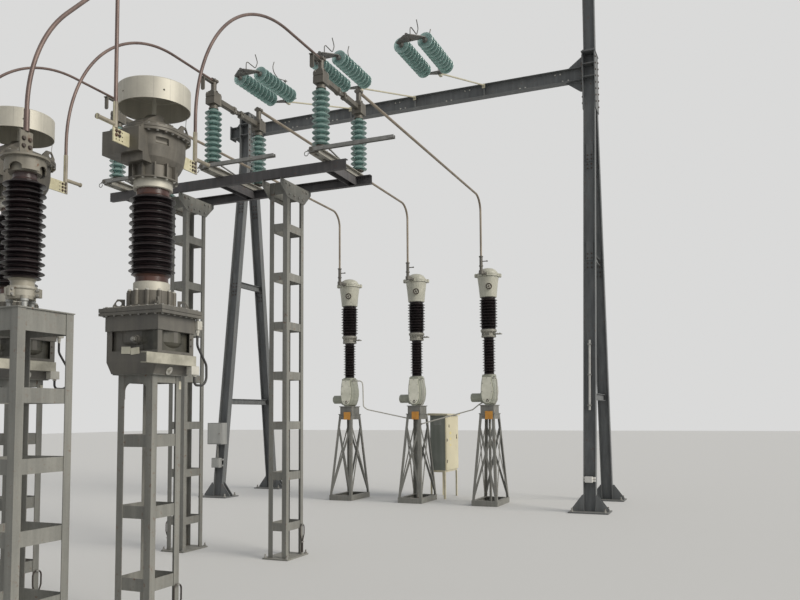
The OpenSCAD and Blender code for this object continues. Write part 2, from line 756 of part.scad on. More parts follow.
module risers() {
  z0 = line_pad_z + pad_h / 2 + line_sleeve_h;
  top_margin = 60;
  color("peru") at_line(-transformer_dist - riser_reach, z0)
    cylinder(r = tube_r, h = joint_z + top_margin - z0);
}

module bay_leads() {
  straight_l = 106.3;
  z0 = bay_pad_z + pad_h / 2 + bay_sleeve_h;
  bend_r = lead_z - z0 - straight_l;
  y0 = -transformer_dist + lead_reach;
  end_gap = 40;
  color("peru") at_phases() {
    translate([0, y0, z0]) cylinder(r = tube_r, h = lead_z - bend_r - z0);
    translate([0, y0, lead_z - bend_r]) bend(bend_r, tube_r, 90);
    translate([0, y0 + bend_r, lead_z]) rotate([-90, 0, 0])
      cylinder(r = tube_r, h = -column_gap / 2 - end_gap - y0 - bend_r);
  }
}

module platform_posts() {
  first_batten = 560;
  top_band = 150;
  tops = [for (k = [0 : 6]) post_h - first_batten + batten_h / 2 - k * post_pitch];
  color("slategray") for (s = [-1, 1]) translate([s * phase_gap / 2, 0, 0])
    ladder(post_w, post_d, post_h, tops, top_band);
}

// Plates beside each post, drilled for their bolts, that carry the beams
module platform_gussets() {
  plate_t = 10;
  depth = 200;
  front_lip = 75;
  rear_lip = 45;
  bolt_d = 20;
  bolt_inset = 38;
  bolt_out = 45;
  reach = beam_gap / 2 + beam_w / 2 + 5;
  color("gray") for (s = [-1, 1]) translate([s * phase_gap / 2, 0, 0]) for (m = [-1, 1])
    translate([m * (post_w / 2 + plate_t / 2) - plate_t / 2, 0, 0]) rotate([90, 0, 90])
      linear_extrude(plate_t) difference() {
        polygon([[-reach, post_h - front_lip], [-post_d / 2, post_h - depth], [post_d / 2, post_h - depth],
          [reach, post_h - rear_lip], [reach, post_h], [-reach, post_h]]);
        for (y = [-1, 1]) translate([y * (post_d / 2 + bolt_out), post_h - bolt_inset]) circle(d = bolt_d);
      }
}

// Channel beams along the phases, webs outward, tied by cross channels under each pole
module platform_beams() {
  flange_t = 8;
  web_t = 6;
  tie_w = 100;
  tie_t = 8;
  color("darkslategray") translate([0, 0, beam_z]) {
    for (s = [0, 1]) mirror([0, s, 0]) translate([-beam_len / 2, beam_gap / 2 - beam_w / 2, 0])
      rotate([90, 0, 90]) linear_extrude(beam_len) polygon([
        [0, 0], [beam_w, 0], [beam_w, beam_h], [0, beam_h], [0, beam_h - flange_t],
        [beam_w - web_t, beam_h - flange_t], [beam_w - web_t, flange_t], [0, flange_t]]);
    for (i = phases) translate([phase_x(i), 0, 0]) {
      tie_l = beam_gap + beam_w - 2 * web_t;
      translate([-tie_w / 2, -tie_l / 2, beam_h - flange_t - tie_t]) cube([tie_w, tie_l, tie_t]);
      for (s = [-1, 1]) translate([s * (tie_w - tie_t) / 2 - tie_t / 2, -tie_l / 2, flange_t])
        cube([tie_t, tie_l, beam_h - 2 * flange_t]);
    }
  }
}

// Pair of channels along each pole, back to back, with a bearing seat under each column
module pole_bases() {
  near_end = -blade_y - base_end_gap;
  far_end = column_gap / 2 + 190;
  channel_w = 42;
  wall = 7;
  seat_l = 150;
  seat_t = 10;
  base_l = near_end + far_end;
  color("lightgray") at_line(0, base_z) {
    for (s = [0, 1]) mirror([s, 0, 0]) translate([pole_base_w / 2 - channel_w, far_end, 0]) rotate([90, 0, 0])
      linear_extrude(base_l) polygon([[0, 0], [channel_w, 0], [channel_w, wall], [wall, wall],
        [wall, pole_base_h - wall], [channel_w, pole_base_h - wall], [channel_w, pole_base_h], [0, pole_base_h]]);
    for (s = [-1, 1]) translate([0, s * column_gap / 2, 0]) {
      translate([0, 0, pole_base_h - seat_t]) slab(pole_base_w, seat_l, seat_t);
      slab(pole_base_w - 2 * channel_w + 2, seat_l - 30, pole_base_h);
      rotate_extrude() polygon([[0, pole_base_h - 2], [56, pole_base_h - 2], [48, pole_base_h + bearing_h], [0, pole_base_h + bearing_h]]);
    }
    translate([0, far_end - wall, 0]) slab(pole_base_w, 2 * wall, pole_base_h);
    translate([0, -near_end + wall, 0]) slab(pole_base_w, 2 * wall, pole_base_h);
  }
}

// Column of glass sheds with a rounded rim, one over the other
module glass_column() {
  pitch = glass_h / glass_count;
  neck_r = 48;
  shoulder_r = 66;
  lip_t = 12;
  color("mediumaquamarine") translate([0, 0, glass_z]) rotate_extrude() polygon(concat(
    [[0, 0]],
    [for (i = [0 : glass_count - 1]) each [
      [neck_r, i * pitch], [shoulder_r - 6, i * pitch + 10], [glass_shed_r - 6, i * pitch + 12],
      [glass_shed_r, i * pitch + 12 + lip_t / 2], [glass_shed_r - 6, i * pitch + 12 + lip_t],
      [shoulder_r, i * pitch + pitch * 0.7]]],
    [[neck_r, glass_h], [0, glass_h]]));
}

// Spindle, collar and lever under the glass, cap and head box over it
module column_body(pin_h, lever_dir) {
  spindle_z = bearing_z + bearing_h + seat_gap;
  spindle_r = 20;
  hub_r = 62;
  lever_hub_r = 40;
  lever_end_r = 18;
  pin_top = 14;
  cap_r0 = 60;
  cap_r1 = 52;
  head_w = 130;
  head_l = 150;
  head_bolt_d = 18;
  body_h = arm_lift + arm_h + 6;
  color("dimgray") {
    translate([0, 0, spindle_z]) cylinder(r = spindle_r, h = lever_z - spindle_z);
    translate([0, 0, lever_z]) rotate_extrude()
      polygon([[0, 0], [lever_hub_r, 0], [lever_hub_r, lever_t], [hub_r, lever_t + 2], [hub_r, hub_h], [0, hub_h]]);
    translate([0, 0, lever_z]) linear_extrude(lever_t) {
      circle(r = lever_hub_r);
      rotate(lever_dir) {
        polygon([[0, -lever_hub_r + 6], [lever_r, -lever_end_r], [lever_r, lever_end_r], [0, lever_hub_r - 6]]);
        translate([lever_r, 0]) circle(r = lever_end_r);
      }
    }
    rotate(lever_dir) translate([lever_r, 0, lever_z - pin_h]) cylinder(r = pin_r, h = pin_h + pin_top);
    translate([0, 0, cap_z]) rotate_extrude()
      polygon([[0, 0], [cap_r0, 0], [cap_r0, 12], [cap_r1, 22], [cap_r1 - 4, cap_h], [0, cap_h]]);
    // Head box with four bosses for its clamp bolts
    translate([0, 0, arm_z]) difference() {
      union() {
        slab(head_w, head_l, body_h);
        slab(head_w - 40, head_l - 40, head_box_h);
        for (sx = [-1, 1]) for (sy = [-1, 1])
          translate([sx * (head_w / 2 - 14), sy * (head_l / 2 - 16), 0]) cylinder(r = 16, h = body_h + 14);
      }
      for (sy = [-1, 1]) translate([-head_w, sy * (head_l / 2 + 2), arm_lift + arm_h / 2]) rotate([0, 90, 0])
        cylinder(d = head_bolt_d, h = 2 * head_w);
    }
  }
}

// Box arm with a step to its end casting; the arm points along +Y
module arm_box(length) {
  root = 75;
  end_l = 60;
  wall = 8;
  collar_t = 16;
  translate([0, 0, arm_z + arm_lift]) {
    translate([-arm_w / 2, root - 1, (arm_h - arm_w) / 2]) cube([arm_w, length - root - end_l + 1, arm_w]);
    translate([-arm_w / 2 + wall, root - 1, wall / 2]) cube([arm_w - 2 * wall, length - root - end_l + 1, arm_h - wall]);
    translate([0, length - end_l, arm_h / 2]) rotate([-90, 0, 0]) cylinder(r = arm_h / 2, h = collar_t);
    translate([-arm_w / 2, length - end_l, 0]) cube([arm_w, end_l, arm_h]);
  }
}

// Line side arm: ends in two finger plates over and under the tongue of the other arm
module line_arm() {
  body_end = column_gap / 2 - contact_reach;
  finger_t = 10;
  finger_w = 44;
  finger_end = column_gap / 2 + 26;
  mid_z = arm_z + arm_lift + arm_h / 2;
  color("dimgray") {
    arm_box(body_end);
    for (s = [-1, 1]) translate([-finger_w / 2, body_end - 1, mid_z + s * (tongue_t / 2 + contact_gap + finger_t / 2) - finger_t / 2])
      cube([finger_w, finger_end - body_end + 1, finger_t]);
  }
}

// Breaker side arm: ends in a flat tongue that lies between the finger plates of the other arm
module breaker_arm() {
  body_end = column_gap / 2 - contact_reach;
  tongue_w = 40;
  mid_z = arm_z + arm_lift + arm_h / 2;
  color("dimgray") {
    arm_box(body_end);
    translate([-tongue_w / 2, body_end - 1, mid_z - tongue_t / 2]) cube([tongue_w, tongue_l + 1, tongue_t]);
  }
}

module column_line_glass(i) translate([phase_x(i), -column_gap / 2, 0]) glass_column();
module column_breaker_glass(i) translate([phase_x(i), column_gap / 2, 0]) glass_column();

module column_line_arm(i) translate([phase_x(i), -column_gap / 2, 0]) {
  column_body(rod_t + lever_gap, lever_angle);
  line_arm();
}

module column_breaker_arm(i) translate([phase_x(i), column_gap / 2, 0]) rotate(180) {
  column_body(0, -lever_angle);
  breaker_arm();
}

// Fixed terminals on top of the columns; the line side ones carry the jaw of the earthing blade
module terminal_heads() {
  stem_r = 34;
  clamp_l = 80;
  clamp_ear_w = 88;
  clamp_ear_t = 24;
  clamp_r = 31;
  bridge_w = 50;
  bridge_t = 10;
  jaw_t = 16;
  jaw_w = 50;
  jaw_overlap = 62;
  jaw_bottom = blade_z + blade_len - jaw_overlap;
  bridge_drop = 40;
  bridge_z = lead_z - bridge_drop;
  color("dimgray") at_phases() for (s = [-1, 1]) translate([0, s * column_gap / 2, 0]) {
    translate([0, 0, terminal_z]) rotate_extrude()
      polygon([[0, 0], [52, 0], [52, 10], [stem_r, 20], [stem_r, lead_z - terminal_z - 10], [0, lead_z - terminal_z - 10]]);
    translate([0, clamp_l / 2, lead_z]) rotate([90, 0, 0]) cylinder(r = clamp_r, h = clamp_l);
    translate([0, 0, lead_z - clamp_ear_t / 2]) slab(clamp_ear_w, clamp_l, clamp_ear_t);
  }
  color("dimgray") at_phases() {
    translate([-bridge_w / 2, blade_y - bridge_w / 2, bridge_z])
      cube([bridge_w, -column_gap / 2 - blade_y + bridge_w / 2, bridge_t]);
    translate([0, blade_y + jaw_t / 2, 0]) rotate([90, 0, 0]) linear_extrude(jaw_t)
      polygon([[-jaw_w / 2, bridge_z + 1], [-jaw_w / 2, jaw_bottom + 16], [-jaw_w / 2 + 10, jaw_bottom],
        [jaw_w / 2 - 10, jaw_bottom], [jaw_w / 2, jaw_bottom + 16], [jaw_w / 2, bridge_z + 1]]);
  }
}

// Spigot on the end of each pole base, along the line, that carries the earthing blade
module earthing_brackets() {
  plate_t = 10;
  collar_r = 22;
  collar_t = 8;
  reach = base_end_gap - plate_t + blade_slot / 2 + 1;
  color("dimgray") at_phases() translate([0, blade_y + base_end_gap, blade_z]) rotate([90, 0, 0]) {
    translate([-pole_base_w / 2, base_z - blade_z, 0]) cube([pole_base_w, pole_base_h, plate_t]);
    translate([0, 0, plate_t - 1]) cylinder(r = spigot_r + 12, h = 12);
    translate([0, 0, plate_t]) cylinder(r = spigot_r, h = reach);
    translate([0, 0, plate_t + reach]) cylinder(r = collar_r, h = collar_t);
  }
}

// Rod with two eyes and a turnbuckle that ties the levers of one pole
module sync_rod(i) {
  dx = -2 * lever_r * cos(lever_angle);
  dy = column_gap;
  rod_len = sqrt(dx * dx + dy * dy);
  x0 = lever_r * cos(lever_angle);
  y0 = -column_gap / 2 + lever_r * sin(lever_angle);
  eye_r = 16;
  rod_w = 16;
  nut_w = 26;
  nut_l = 90;
  color("dimgray") translate([phase_x(i) + x0, y0, rod_z]) rotate(atan2(-dx, dy)) difference() {
    union() {
      for (y = [0, rod_len]) translate([0, y, 0]) cylinder(r = eye_r, h = rod_t);
      translate([-rod_w / 2, 0, 0]) cube([rod_w, rod_len, rod_t]);
      translate([-nut_w / 2, (rod_len - nut_l) / 2, 0]) cube([nut_w, nut_l, rod_t]);
    }
    for (y = [0, rod_len]) translate([0, y, -1]) cylinder(r = pin_r + seat_gap, h = rod_t + 2);
  }
}

// Two bars side by side on a hub that turns on its spigot; at rest the blade lies along X
module earth_blade(i) {
  tip_l = 60;
  tip_t = 8;
  spacer_r = 8;
  arm_out = 46;
  color("dimgray") translate([phase_x(i), blade_y, blade_z]) difference() {
    union() {
      rotate([90, 0, 0]) translate([0, 0, -blade_slot / 2]) cylinder(r = blade_hub_r, h = blade_slot);
      for (s = [-1, 1]) {
        translate([0, s * (blade_slot - blade_t) / 2 - blade_t / 2, -blade_h / 2]) cube([blade_len, blade_t, blade_h]);
        translate([blade_len - tip_l, s * (blade_slot + tip_t) / 2 - tip_t / 2, -blade_h / 2 + 4])
          cube([tip_l, tip_t, blade_h - 8]);
      }
      for (x = [0.14, 0.42, 0.7]) translate([x * blade_len, blade_slot / 2, 0]) rotate([90, 0, 0])
        cylinder(r = spacer_r, h = blade_slot);
      translate([-arm_out, -blade_slot / 2, -blade_h / 2]) cube([arm_out, blade_slot, 16]);
    }
    rotate([90, 0, 0]) translate([0, 0, -blade_slot]) cylinder(r = spigot_r + seat_gap, h = 2 * blade_slot);
  }
}

// Flat or square bar between two points, w across and t along the line
module strut(p, q, w, t) {
  dx = q[0] - p[0];
  dy = q[1] - p[1];
  dz = q[2] - p[2];
  len = sqrt(dx * dx + dy * dy + dz * dz);
  translate(p) rotate([-asin(dy / len), atan2(dx, dz), 0]) slab(w, t, len);
}

// Pyramid of four leaning angle legs with crossed braces, channel foot frame and square head
module breaker_pedestals() {
  leg_w = 52;
  leg_t = 6;
  frame_h = 100;
  frame_flange = 60;
  frame_wall = 9;
  brace_w = 42;
  brace_t = 6;
  brace_z0 = 130;
  brace_z1 = 1480;
  head_band = 110;
  pipe_r = 24;
  lean_x = (breaker_foot_w - breaker_top_w) / 2 / breaker_ped_h;
  lean_y = (breaker_foot_d - breaker_top_d) / 2 / breaker_ped_h;
  leg_len = breaker_ped_h * sqrt(1 + lean_x * lean_x + lean_y * lean_y);
  function hx(z) = breaker_foot_w / 2 - lean_x * z;
  function hy(z) = breaker_foot_d / 2 - lean_y * z;
  color("slategray") at_line(breaker_dist, 0) {
    // Foot frame of channels with their webs outward, drilled for the anchors
    difference() {
      slab(breaker_foot_w, breaker_foot_d, frame_h);
      translate([0, 0, -1]) slab(breaker_foot_w - 2 * frame_flange, breaker_foot_d - 2 * frame_flange, frame_h + 2);
      translate([0, 0, frame_wall]) slab(breaker_foot_w - 2 * frame_wall, breaker_foot_d - 2 * frame_wall, frame_h - 2 * frame_wall);
      for (sx = [-1, 1]) for (sy = [-1, 1])
        translate([sx * (breaker_foot_w / 2 - frame_flange / 2 - 4), sy * (breaker_foot_d / 2 - 150), -1])
          cylinder(d = anchor_d, h = frame_wall + 2);
    }
    intersection() {
      union() {
        at_corners()
          translate([-breaker_foot_w / 2, -breaker_foot_d / 2, 0])
            rotate([-asin(lean_y * breaker_ped_h / leg_len), atan(lean_x), 0])
              translate([0, 0, -50]) angle_leg(leg_w, leg_t, leg_len + 100);
        for (sx = [0, 1]) mirror([sx, 0, 0]) for (sy = [0, 1]) mirror([0, sy, 0])
          strut([-hx(brace_z0) + leg_t, -hy(brace_z0) + brace_w / 2, brace_z0],
             [-hx(brace_z1) + leg_t, hy(brace_z1) - brace_w / 2, brace_z1], brace_t, brace_w);
        for (sy = [0, 1]) mirror([0, sy, 0]) for (sx = [0, 1]) mirror([sx, 0, 0])
          strut([-hx(brace_z0) + brace_w / 2, -hy(brace_z0) + leg_t, brace_z0],
             [hx(brace_z1) - brace_w / 2, -hy(brace_z1) + leg_t, brace_z1], brace_w, brace_t);
      }
      translate([0, 0, frame_wall / 2]) slab(2 * breaker_foot_w, 2 * breaker_foot_d, breaker_ped_h - frame_wall);
    }
    translate([0, 0, breaker_ped_h - head_band]) linear_extrude(head_band) difference() {
      square([breaker_top_w + 8, breaker_top_d + 8], center = true);
      square([breaker_top_w - 12, breaker_top_d - 12], center = true);
    }
    translate([0, 0, breaker_ped_h - breaker_plate_t]) slab(breaker_top_w + 28, breaker_top_d + 28, breaker_plate_t);
    cylinder(r = pipe_r, h = breaker_ped_h);
    // Steel box between the head plate and the mechanism
    translate([0, 0, breaker_ped_h]) slab(breaker_top_w - 24, breaker_top_d - 40, breaker_box_h - breaker_plate_t);
    translate([0, 0, mechanism_z - breaker_plate_t]) slab(breaker_top_w, breaker_top_d, breaker_plate_t);
  }
}

// Bottle shaped housing with a raised cover on the side of the line and a motor drum beside it
module breaker_mechanisms() {
  depth = 340;
  cover_t_out = 14;
  cover_scale = 0.88;
  drum_z = 140;
  drum_end = 360;
  drum_radius = 85;
  drum_flange_r = 110;
  drum_flange_x = 148;
  outline = [[-34, 0], [34, 0], [74, 26], [112, 120], [130, 240], [128, 330], [106, 450], [95, 520], [95, mechanism_h],
    [-95, mechanism_h], [-95, 520], [-112, 420], [-122, 300], [-120, 180], [-104, 80], [-72, 26]];
  color("cornsilk") at_line(breaker_dist, mechanism_z) {
    translate([0, depth / 2, 0]) rotate([90, 0, 0]) linear_extrude(depth) polygon(outline);
    translate([0, -depth / 2, mechanism_h * (1 - cover_scale) / 2]) rotate([90, 0, 0]) linear_extrude(cover_t_out)
      scale(cover_scale) polygon(outline);
    translate([0, 0, mechanism_h - 12]) cylinder(r = 132, h = lower_porcelain_z - mechanism_z - mechanism_h + 12);
    translate([0, 0, drum_z]) rotate([0, -90, 0]) rotate_extrude() polygon([[0, 40], [drum_radius, 40],
      [drum_radius, drum_flange_x - 18], [drum_flange_r, drum_flange_x - 18], [drum_flange_r, drum_flange_x + 14],
      [drum_radius, drum_flange_x + 14], [drum_radius, drum_end - 14], [drum_radius - 12, drum_end], [0, drum_end]]);
  }
}

module breaker_insulators() {
  color("saddlebrown") at_line(breaker_dist, 0) {
    translate([0, 0, lower_porcelain_z]) porcelain(lower_porcelain_h, 88, 128, 106, 12, 38, 98);
    translate([0, 0, upper_porcelain_z]) porcelain(upper_porcelain_h, 128, 174, 150, 10, 34, 138);
  }
}

// Double flange between the two porcelains, with ribs and a drilled terminal pad
module breaker_flanges() {
  rib_count = 8;
  pad_l = 255;
  pad_w = 100;
  color("gainsboro") at_line(breaker_dist, mid_flange_z) {
    rotate_extrude() polygon([[0, 0], [138, 0], [144, 6], [144, 26], [116, 34], [112, 70], [130, 96],
      [156, 112], [156, mid_flange_h - 6], [150, mid_flange_h], [0, mid_flange_h]]);
    for (k = [0 : rib_count - 1]) rotate(k * 360 / rib_count + 22.5)
      translate([100, -5, 20]) cube([36, 10, 96]);
    translate([0, 0, 52]) difference() {
      translate([90, -pad_w / 2, 0]) cube([pad_l - 90, pad_w, 16]);
      for (a = [0, 1]) for (b = [-1, 1])
        translate([pad_l - 30 - a * 50, b * 25, -1]) cylinder(d = pad_hole_d, h = 18);
    }
  }
}

// Bell with a round boss, bolted flange with two ears, and a dome
module breaker_heads() {
  boss_r = 62;
  boss_reach = 214;
  boss_z = 190;
  ear_r = 30;
  flange_z = head_h;
  seat_w = 110;
  seat_reach = head_r + 14;
  color("cornsilk") at_line(breaker_dist, head_z) {
    rotate_extrude() polygon([[0, 0], [156, 0], [164, 8], [168, 60], [182, 200], [203, head_h - 30], [204, flange_z],
      [head_r, flange_z], [head_r, flange_z + head_flange_t / 2 - 2], [head_r - 6, flange_z + head_flange_t / 2 - 2],
      [head_r - 6, flange_z + head_flange_t / 2 + 2], [head_r, flange_z + head_flange_t / 2 + 2],
      [head_r, flange_z + head_flange_t], [190, flange_z + head_flange_t], [182, flange_z + head_flange_t + 34],
      [150, flange_z + head_flange_t + 76], [96, flange_z + head_flange_t + 104], [40, flange_z + head_flange_t + breaker_dome_h],
      [0, flange_z + head_flange_t + breaker_dome_h]]);
    for (a = [20, 200]) rotate(a) translate([head_r + 8, 0, flange_z]) cylinder(r = ear_r, h = head_flange_t);
    translate([0, 0, boss_z]) rotate([90, 0, 20]) rotate_extrude() polygon([[0, 100], [boss_r, 100],
      [boss_r, boss_reach], [boss_r - 10, boss_reach], [boss_r - 10, boss_reach - 8], [boss_r - 22, boss_reach - 8],
      [boss_r - 22, boss_reach - 2], [0, boss_reach - 2]]);
    translate([-seat_w / 2, -seat_reach, flange_z]) cube([seat_w, seat_reach, head_flange_t]);
  }
}

// Terminal arm that carries a tall socket with two collars and a stub bar
module breaker_terminals() {
  arm_t = 40;
  arm_wide = 90;
  arm_z0 = head_z + head_h + (head_flange_t - arm_t) / 2;
  socket_z = head_z + head_h - socket_drop;
  seat_y = head_r + 14;
  socket_r = 30;
  collar_r = 40;
  collar_t = 18;
  stub_z = 238;
  stub_reach = 118;
  stub_rod_r = 9;
  knob_r = 15;
  color("dimgray") at_line(breaker_dist, 0) {
    translate([-arm_wide / 2, -terminal_reach, arm_z0]) cube([arm_wide, terminal_reach - seat_y, arm_t]);
    translate([0, -terminal_reach, socket_z]) {
      cylinder(r = arm_wide / 2, h = arm_t + 26);
      cylinder(r = socket_r, h = socket_h);
      for (z = [socket_h * 0.42, socket_h - collar_t]) translate([0, 0, z]) cylinder(r = collar_r, h = collar_t);
      translate([0, 0, stub_z]) rotate([0, 90, 0]) {
        cylinder(r = stub_rod_r, h = stub_reach);
        translate([0, 0, stub_reach]) sphere(r = knob_r);
      }
    }
  }
}

module breaker_leads() {
  y1 = breaker_dist - terminal_reach;
  z0 = head_z + head_h - socket_drop + socket_h;
  y0 = column_gap / 2 + 40;
  color("peru") at_phases() {
    translate([0, y0, lead_z]) rotate([-90, 0, 0]) cylinder(r = breaker_tube_r, h = y1 - breaker_bend_r - y0);
    translate([0, y1, lead_z - breaker_bend_r]) rotate([0, 0, 180]) bend(breaker_bend_r, breaker_tube_r, 90);
    translate([0, y1, z0]) cylinder(r = breaker_tube_r, h = lead_z - breaker_bend_r - z0);
  }
}

cabinet_x = phase_gap / 2 - 500;
cabinet_y = breaker_dist + 870;
cabinet_wall = 3;
door_t = 25;
hinge_r = 8;
door_edge = 6;

// Sheet housing open toward the door, on four legs tied by rails, under an overhanging roof
module control_cabinet() {
  z0 = cabinet_leg_h;
  leg_w = 40;
  leg_t = 4;
  rail_h = 40;
  roof_h = 46;
  roof_lip = 34;
  door_lip = 62;
  shelf_z = 0.62;
  color("gray") translate([cabinet_x, cabinet_y, 0]) {
    difference() {
      translate([0, 0, z0]) slab(cabinet_d, cabinet_w, cabinet_h);
      translate([-cabinet_d / 2 + cabinet_wall, -cabinet_w / 2 + cabinet_wall, z0 + cabinet_wall])
        cube([cabinet_d, cabinet_w - 2 * cabinet_wall, cabinet_h - 2 * cabinet_wall]);
    }
    // Equipment plate inside, on the rear wall
    translate([-cabinet_d / 2 + cabinet_wall - 1, -cabinet_w / 2 + 60, z0 + 80]) cube([60, cabinet_w - 120, cabinet_h * shelf_z]);
    translate([-cabinet_d / 2 - roof_lip, 0, z0 + cabinet_h]) rotate([90, 0, 0])
      translate([0, 0, -cabinet_w / 2 - roof_lip]) linear_extrude(cabinet_w + 2 * roof_lip)
        polygon([[0, 0], [cabinet_d + roof_lip + door_lip, 0], [cabinet_d + roof_lip + door_lip, roof_h - 14], [0, roof_h]]);
    at_corners()
      translate([-cabinet_d / 2, -cabinet_w / 2, 0]) angle_leg(leg_w, leg_t, z0 + cabinet_wall - 1);
    translate([0, 0, z0 - rail_h]) linear_extrude(rail_h) difference() {
      square([cabinet_d, cabinet_w], center = true);
      square([cabinet_d - 2 * leg_t, cabinet_w - 2 * leg_t], center = true);
    }
  }
}

// Door pan with a folded edge, a handle recess and a round hinge knuckle on its axis
module cabinet_door() {
  pan_h = cabinet_h - 12;
  handle_w = 60;
  handle_h = 170;
  color("cornsilk") translate([cabinet_x + cabinet_d / 2 + seat_gap, cabinet_y - cabinet_w / 2, cabinet_leg_h + 4]) {
    difference() {
      translate([0, hinge_r, 0]) cube([door_t, cabinet_w - hinge_r, pan_h]);
      translate([-1, hinge_r + door_edge, door_edge]) cube([door_t - door_edge + 1, cabinet_w - hinge_r - 2 * door_edge, pan_h - 2 * door_edge]);
      translate([door_t - 4, cabinet_w * 0.82, pan_h * 0.5]) cube([10, handle_w, handle_h]);
    }
    translate([hinge_r, hinge_r, 0]) cylinder(r = hinge_r, h = pan_h);
  }
}

leg_lean = atan((gantry_spread - apex_half) / (apex_z + 200));

// Distance of the middle of a leg from the apex line at height z
function leg_mid(z) = gantry_spread - (z + 200) * tan(leg_lean);

// Distance of a leg's outer face from the apex line at height z
function leg_face(z) = leg_mid(z) + column_d / 2 / cos(leg_lean);

// H section standing on its end, flanges across
module h_section(w, d, t) {
  for (s = [-1, 1]) translate([0, s * (d - t) / 2]) square([w, t], center = true);
  square([t, d - t], center = true);
}

joint_half = 205;

// A shaped support: two leaning legs, ties, joint plates, stiffeners, ribbed feet
module support(x, stub_side) {
  tie_z = [2020, 4640];
  tie_w = 90;
  tie_h = 120;
  splice_z = [4510, 6430];
  splice_w = 130;
  splice_h = 360;
  splice_t = 12;
  joint_z0 = gantry_z - 760;
  rib_t = 14;
  rib_h = 300;
  foot_lip = 235;
  cap_t = 20;
  stub_l = 320;
  stub_plate_t = 20;
  hole_inset = 60;
  plate_half = column_w / 2 + foot_lip;
  color("slategray") translate([x, gantry_dist, 0]) {
    for (s = [-1, 1]) translate([0, s * leg_mid(0), 0]) {
      difference() {
        slab(2 * plate_half, foot_w, foot_t);
        for (a = [-1, 1]) for (b = [-1, 1])
          translate([a * (plate_half - hole_inset), b * (foot_w / 2 - hole_inset), -1]) cylinder(d = foot_hole_d, h = foot_t + 2);
      }
      for (m = [0, 1]) mirror([m, 0, 0]) for (y = [-50, 50])
        translate([0, y + rib_t / 2, 0]) rotate([90, 0, 0]) linear_extrude(rib_t)
          polygon([[column_w / 2 - 2, foot_t - 1], [plate_half - 24, foot_t - 1], [plate_half - 24, foot_t + 30],
            [column_w / 2 + 20, rib_h], [column_w / 2 - 2, rib_h]]);
    }
    // Legs with their flanges toward the neighbouring bays and spliced webs
    intersection() {
      for (s = [-1, 1]) translate([0, s * gantry_spread, -200]) rotate([s * leg_lean, 0, 0])
        linear_extrude(2 * apex_z) rotate(90) h_section(column_d, column_w, column_t);
      translate([0, 0, foot_t / 2]) slab(2 * column_w, 4 * gantry_spread, apex_z - foot_t);
    }
    for (z = splice_z) for (s = [-1, 1]) translate([0, s * leg_mid(z), z]) rotate([s * leg_lean, 0, 0])
      slab(splice_w, column_t + 2 * splice_t, splice_h);
    // Ties between the webs of the legs
    for (z = tie_z) translate([0, 0, z - tie_h / 2]) difference() {
      slab(tie_w, 2 * leg_mid(z + tie_h / 2), tie_h);
      for (s = [-1, 1]) translate([s * (tie_w / 2 + 4), 0, 10])
        slab(tie_w - 12, 2 * leg_mid(z) - 60, tie_h - 20);
    }
    // Plates over both sides of the apex, stiffened in line with the beam
    for (m = [-1, 1]) translate([m * (column_w + joint_plate_t - 2) / 2, 0, joint_z0])
      slab(joint_plate_t, 2 * joint_half, apex_z - joint_z0);
    for (z = [gantry_z - gantry_beam_h / 2, gantry_z + gantry_beam_h / 2]) translate([0, 0, z - column_t / 2])
      slab(column_w, 2 * joint_half, column_t);
    translate([0, 0, apex_z - cap_t]) slab(column_w + 50, 2 * joint_half + 30, cap_t);
    // Stub of the next beam with its end plate
    if (stub_side) translate([-column_w / 2 - stub_l, 0, gantry_z]) {
      rotate([90, 0, 90]) linear_extrude(stub_l) h_section(gantry_beam_w, gantry_beam_h, gantry_beam_t);
      translate([-stub_plate_t / 2, 0, -gantry_beam_h / 2 - 30]) slab(stub_plate_t, gantry_beam_w + 40, gantry_beam_h + 60);
      for (m = [0, 1]) mirror([0, 0, m]) translate([0, haunch_t / 2, gantry_beam_h / 2]) rotate([90, 0, 0]) linear_extrude(haunch_t)
        polygon([[60, -1], [stub_l, -1], [stub_l, haunch_h], [stub_l - 30, haunch_h]]);
    }
  }
}

module gantry_left_support() support(gantry_left_x, true);
module gantry_right_support() support(gantry_right_x, false);

// H beam with end plates and a haunch plate over and under each end
module gantry_beam() {
  reach = column_w / 2 + joint_plate_t - 1 + seat_gap;
  x0 = gantry_left_x + reach;
  x1 = gantry_right_x - reach;
  beam_l = x1 - x0;
  end_t = 20;
  haunch_l = 350;
  end_lip = 20;
  end_h = 2 * haunch_h + gantry_beam_h;
  stiffener_t = 10;
  color("slategray") translate([x0, gantry_dist, gantry_z]) {
    rotate([90, 0, 90]) linear_extrude(beam_l) h_section(gantry_beam_w, gantry_beam_h, gantry_beam_t);
    for (x = [end_t / 2, beam_l - end_t / 2]) translate([x, 0, -end_h / 2]) slab(end_t, gantry_beam_w + 2 * end_lip, end_h);
    for (e = [0, 1]) for (m = [0, 1]) translate([e * beam_l, haunch_t / 2, 0]) mirror([e, 0, 0]) mirror([0, 0, m])
      translate([0, 0, gantry_beam_h / 2]) rotate([90, 0, 0]) linear_extrude(haunch_t)
        polygon([[end_t - 1, -1], [haunch_l, -1], [haunch_l - 30, 14], [end_t + 40, haunch_h - 10], [end_t - 1, haunch_h - 10]]);
    for (i = phases) translate([phase_x(i) + string_shift - x0, 0, -gantry_beam_h / 2 + 2])
      slab(stiffener_t, gantry_beam_w - 8, gantry_beam_h - 4);
  }
}

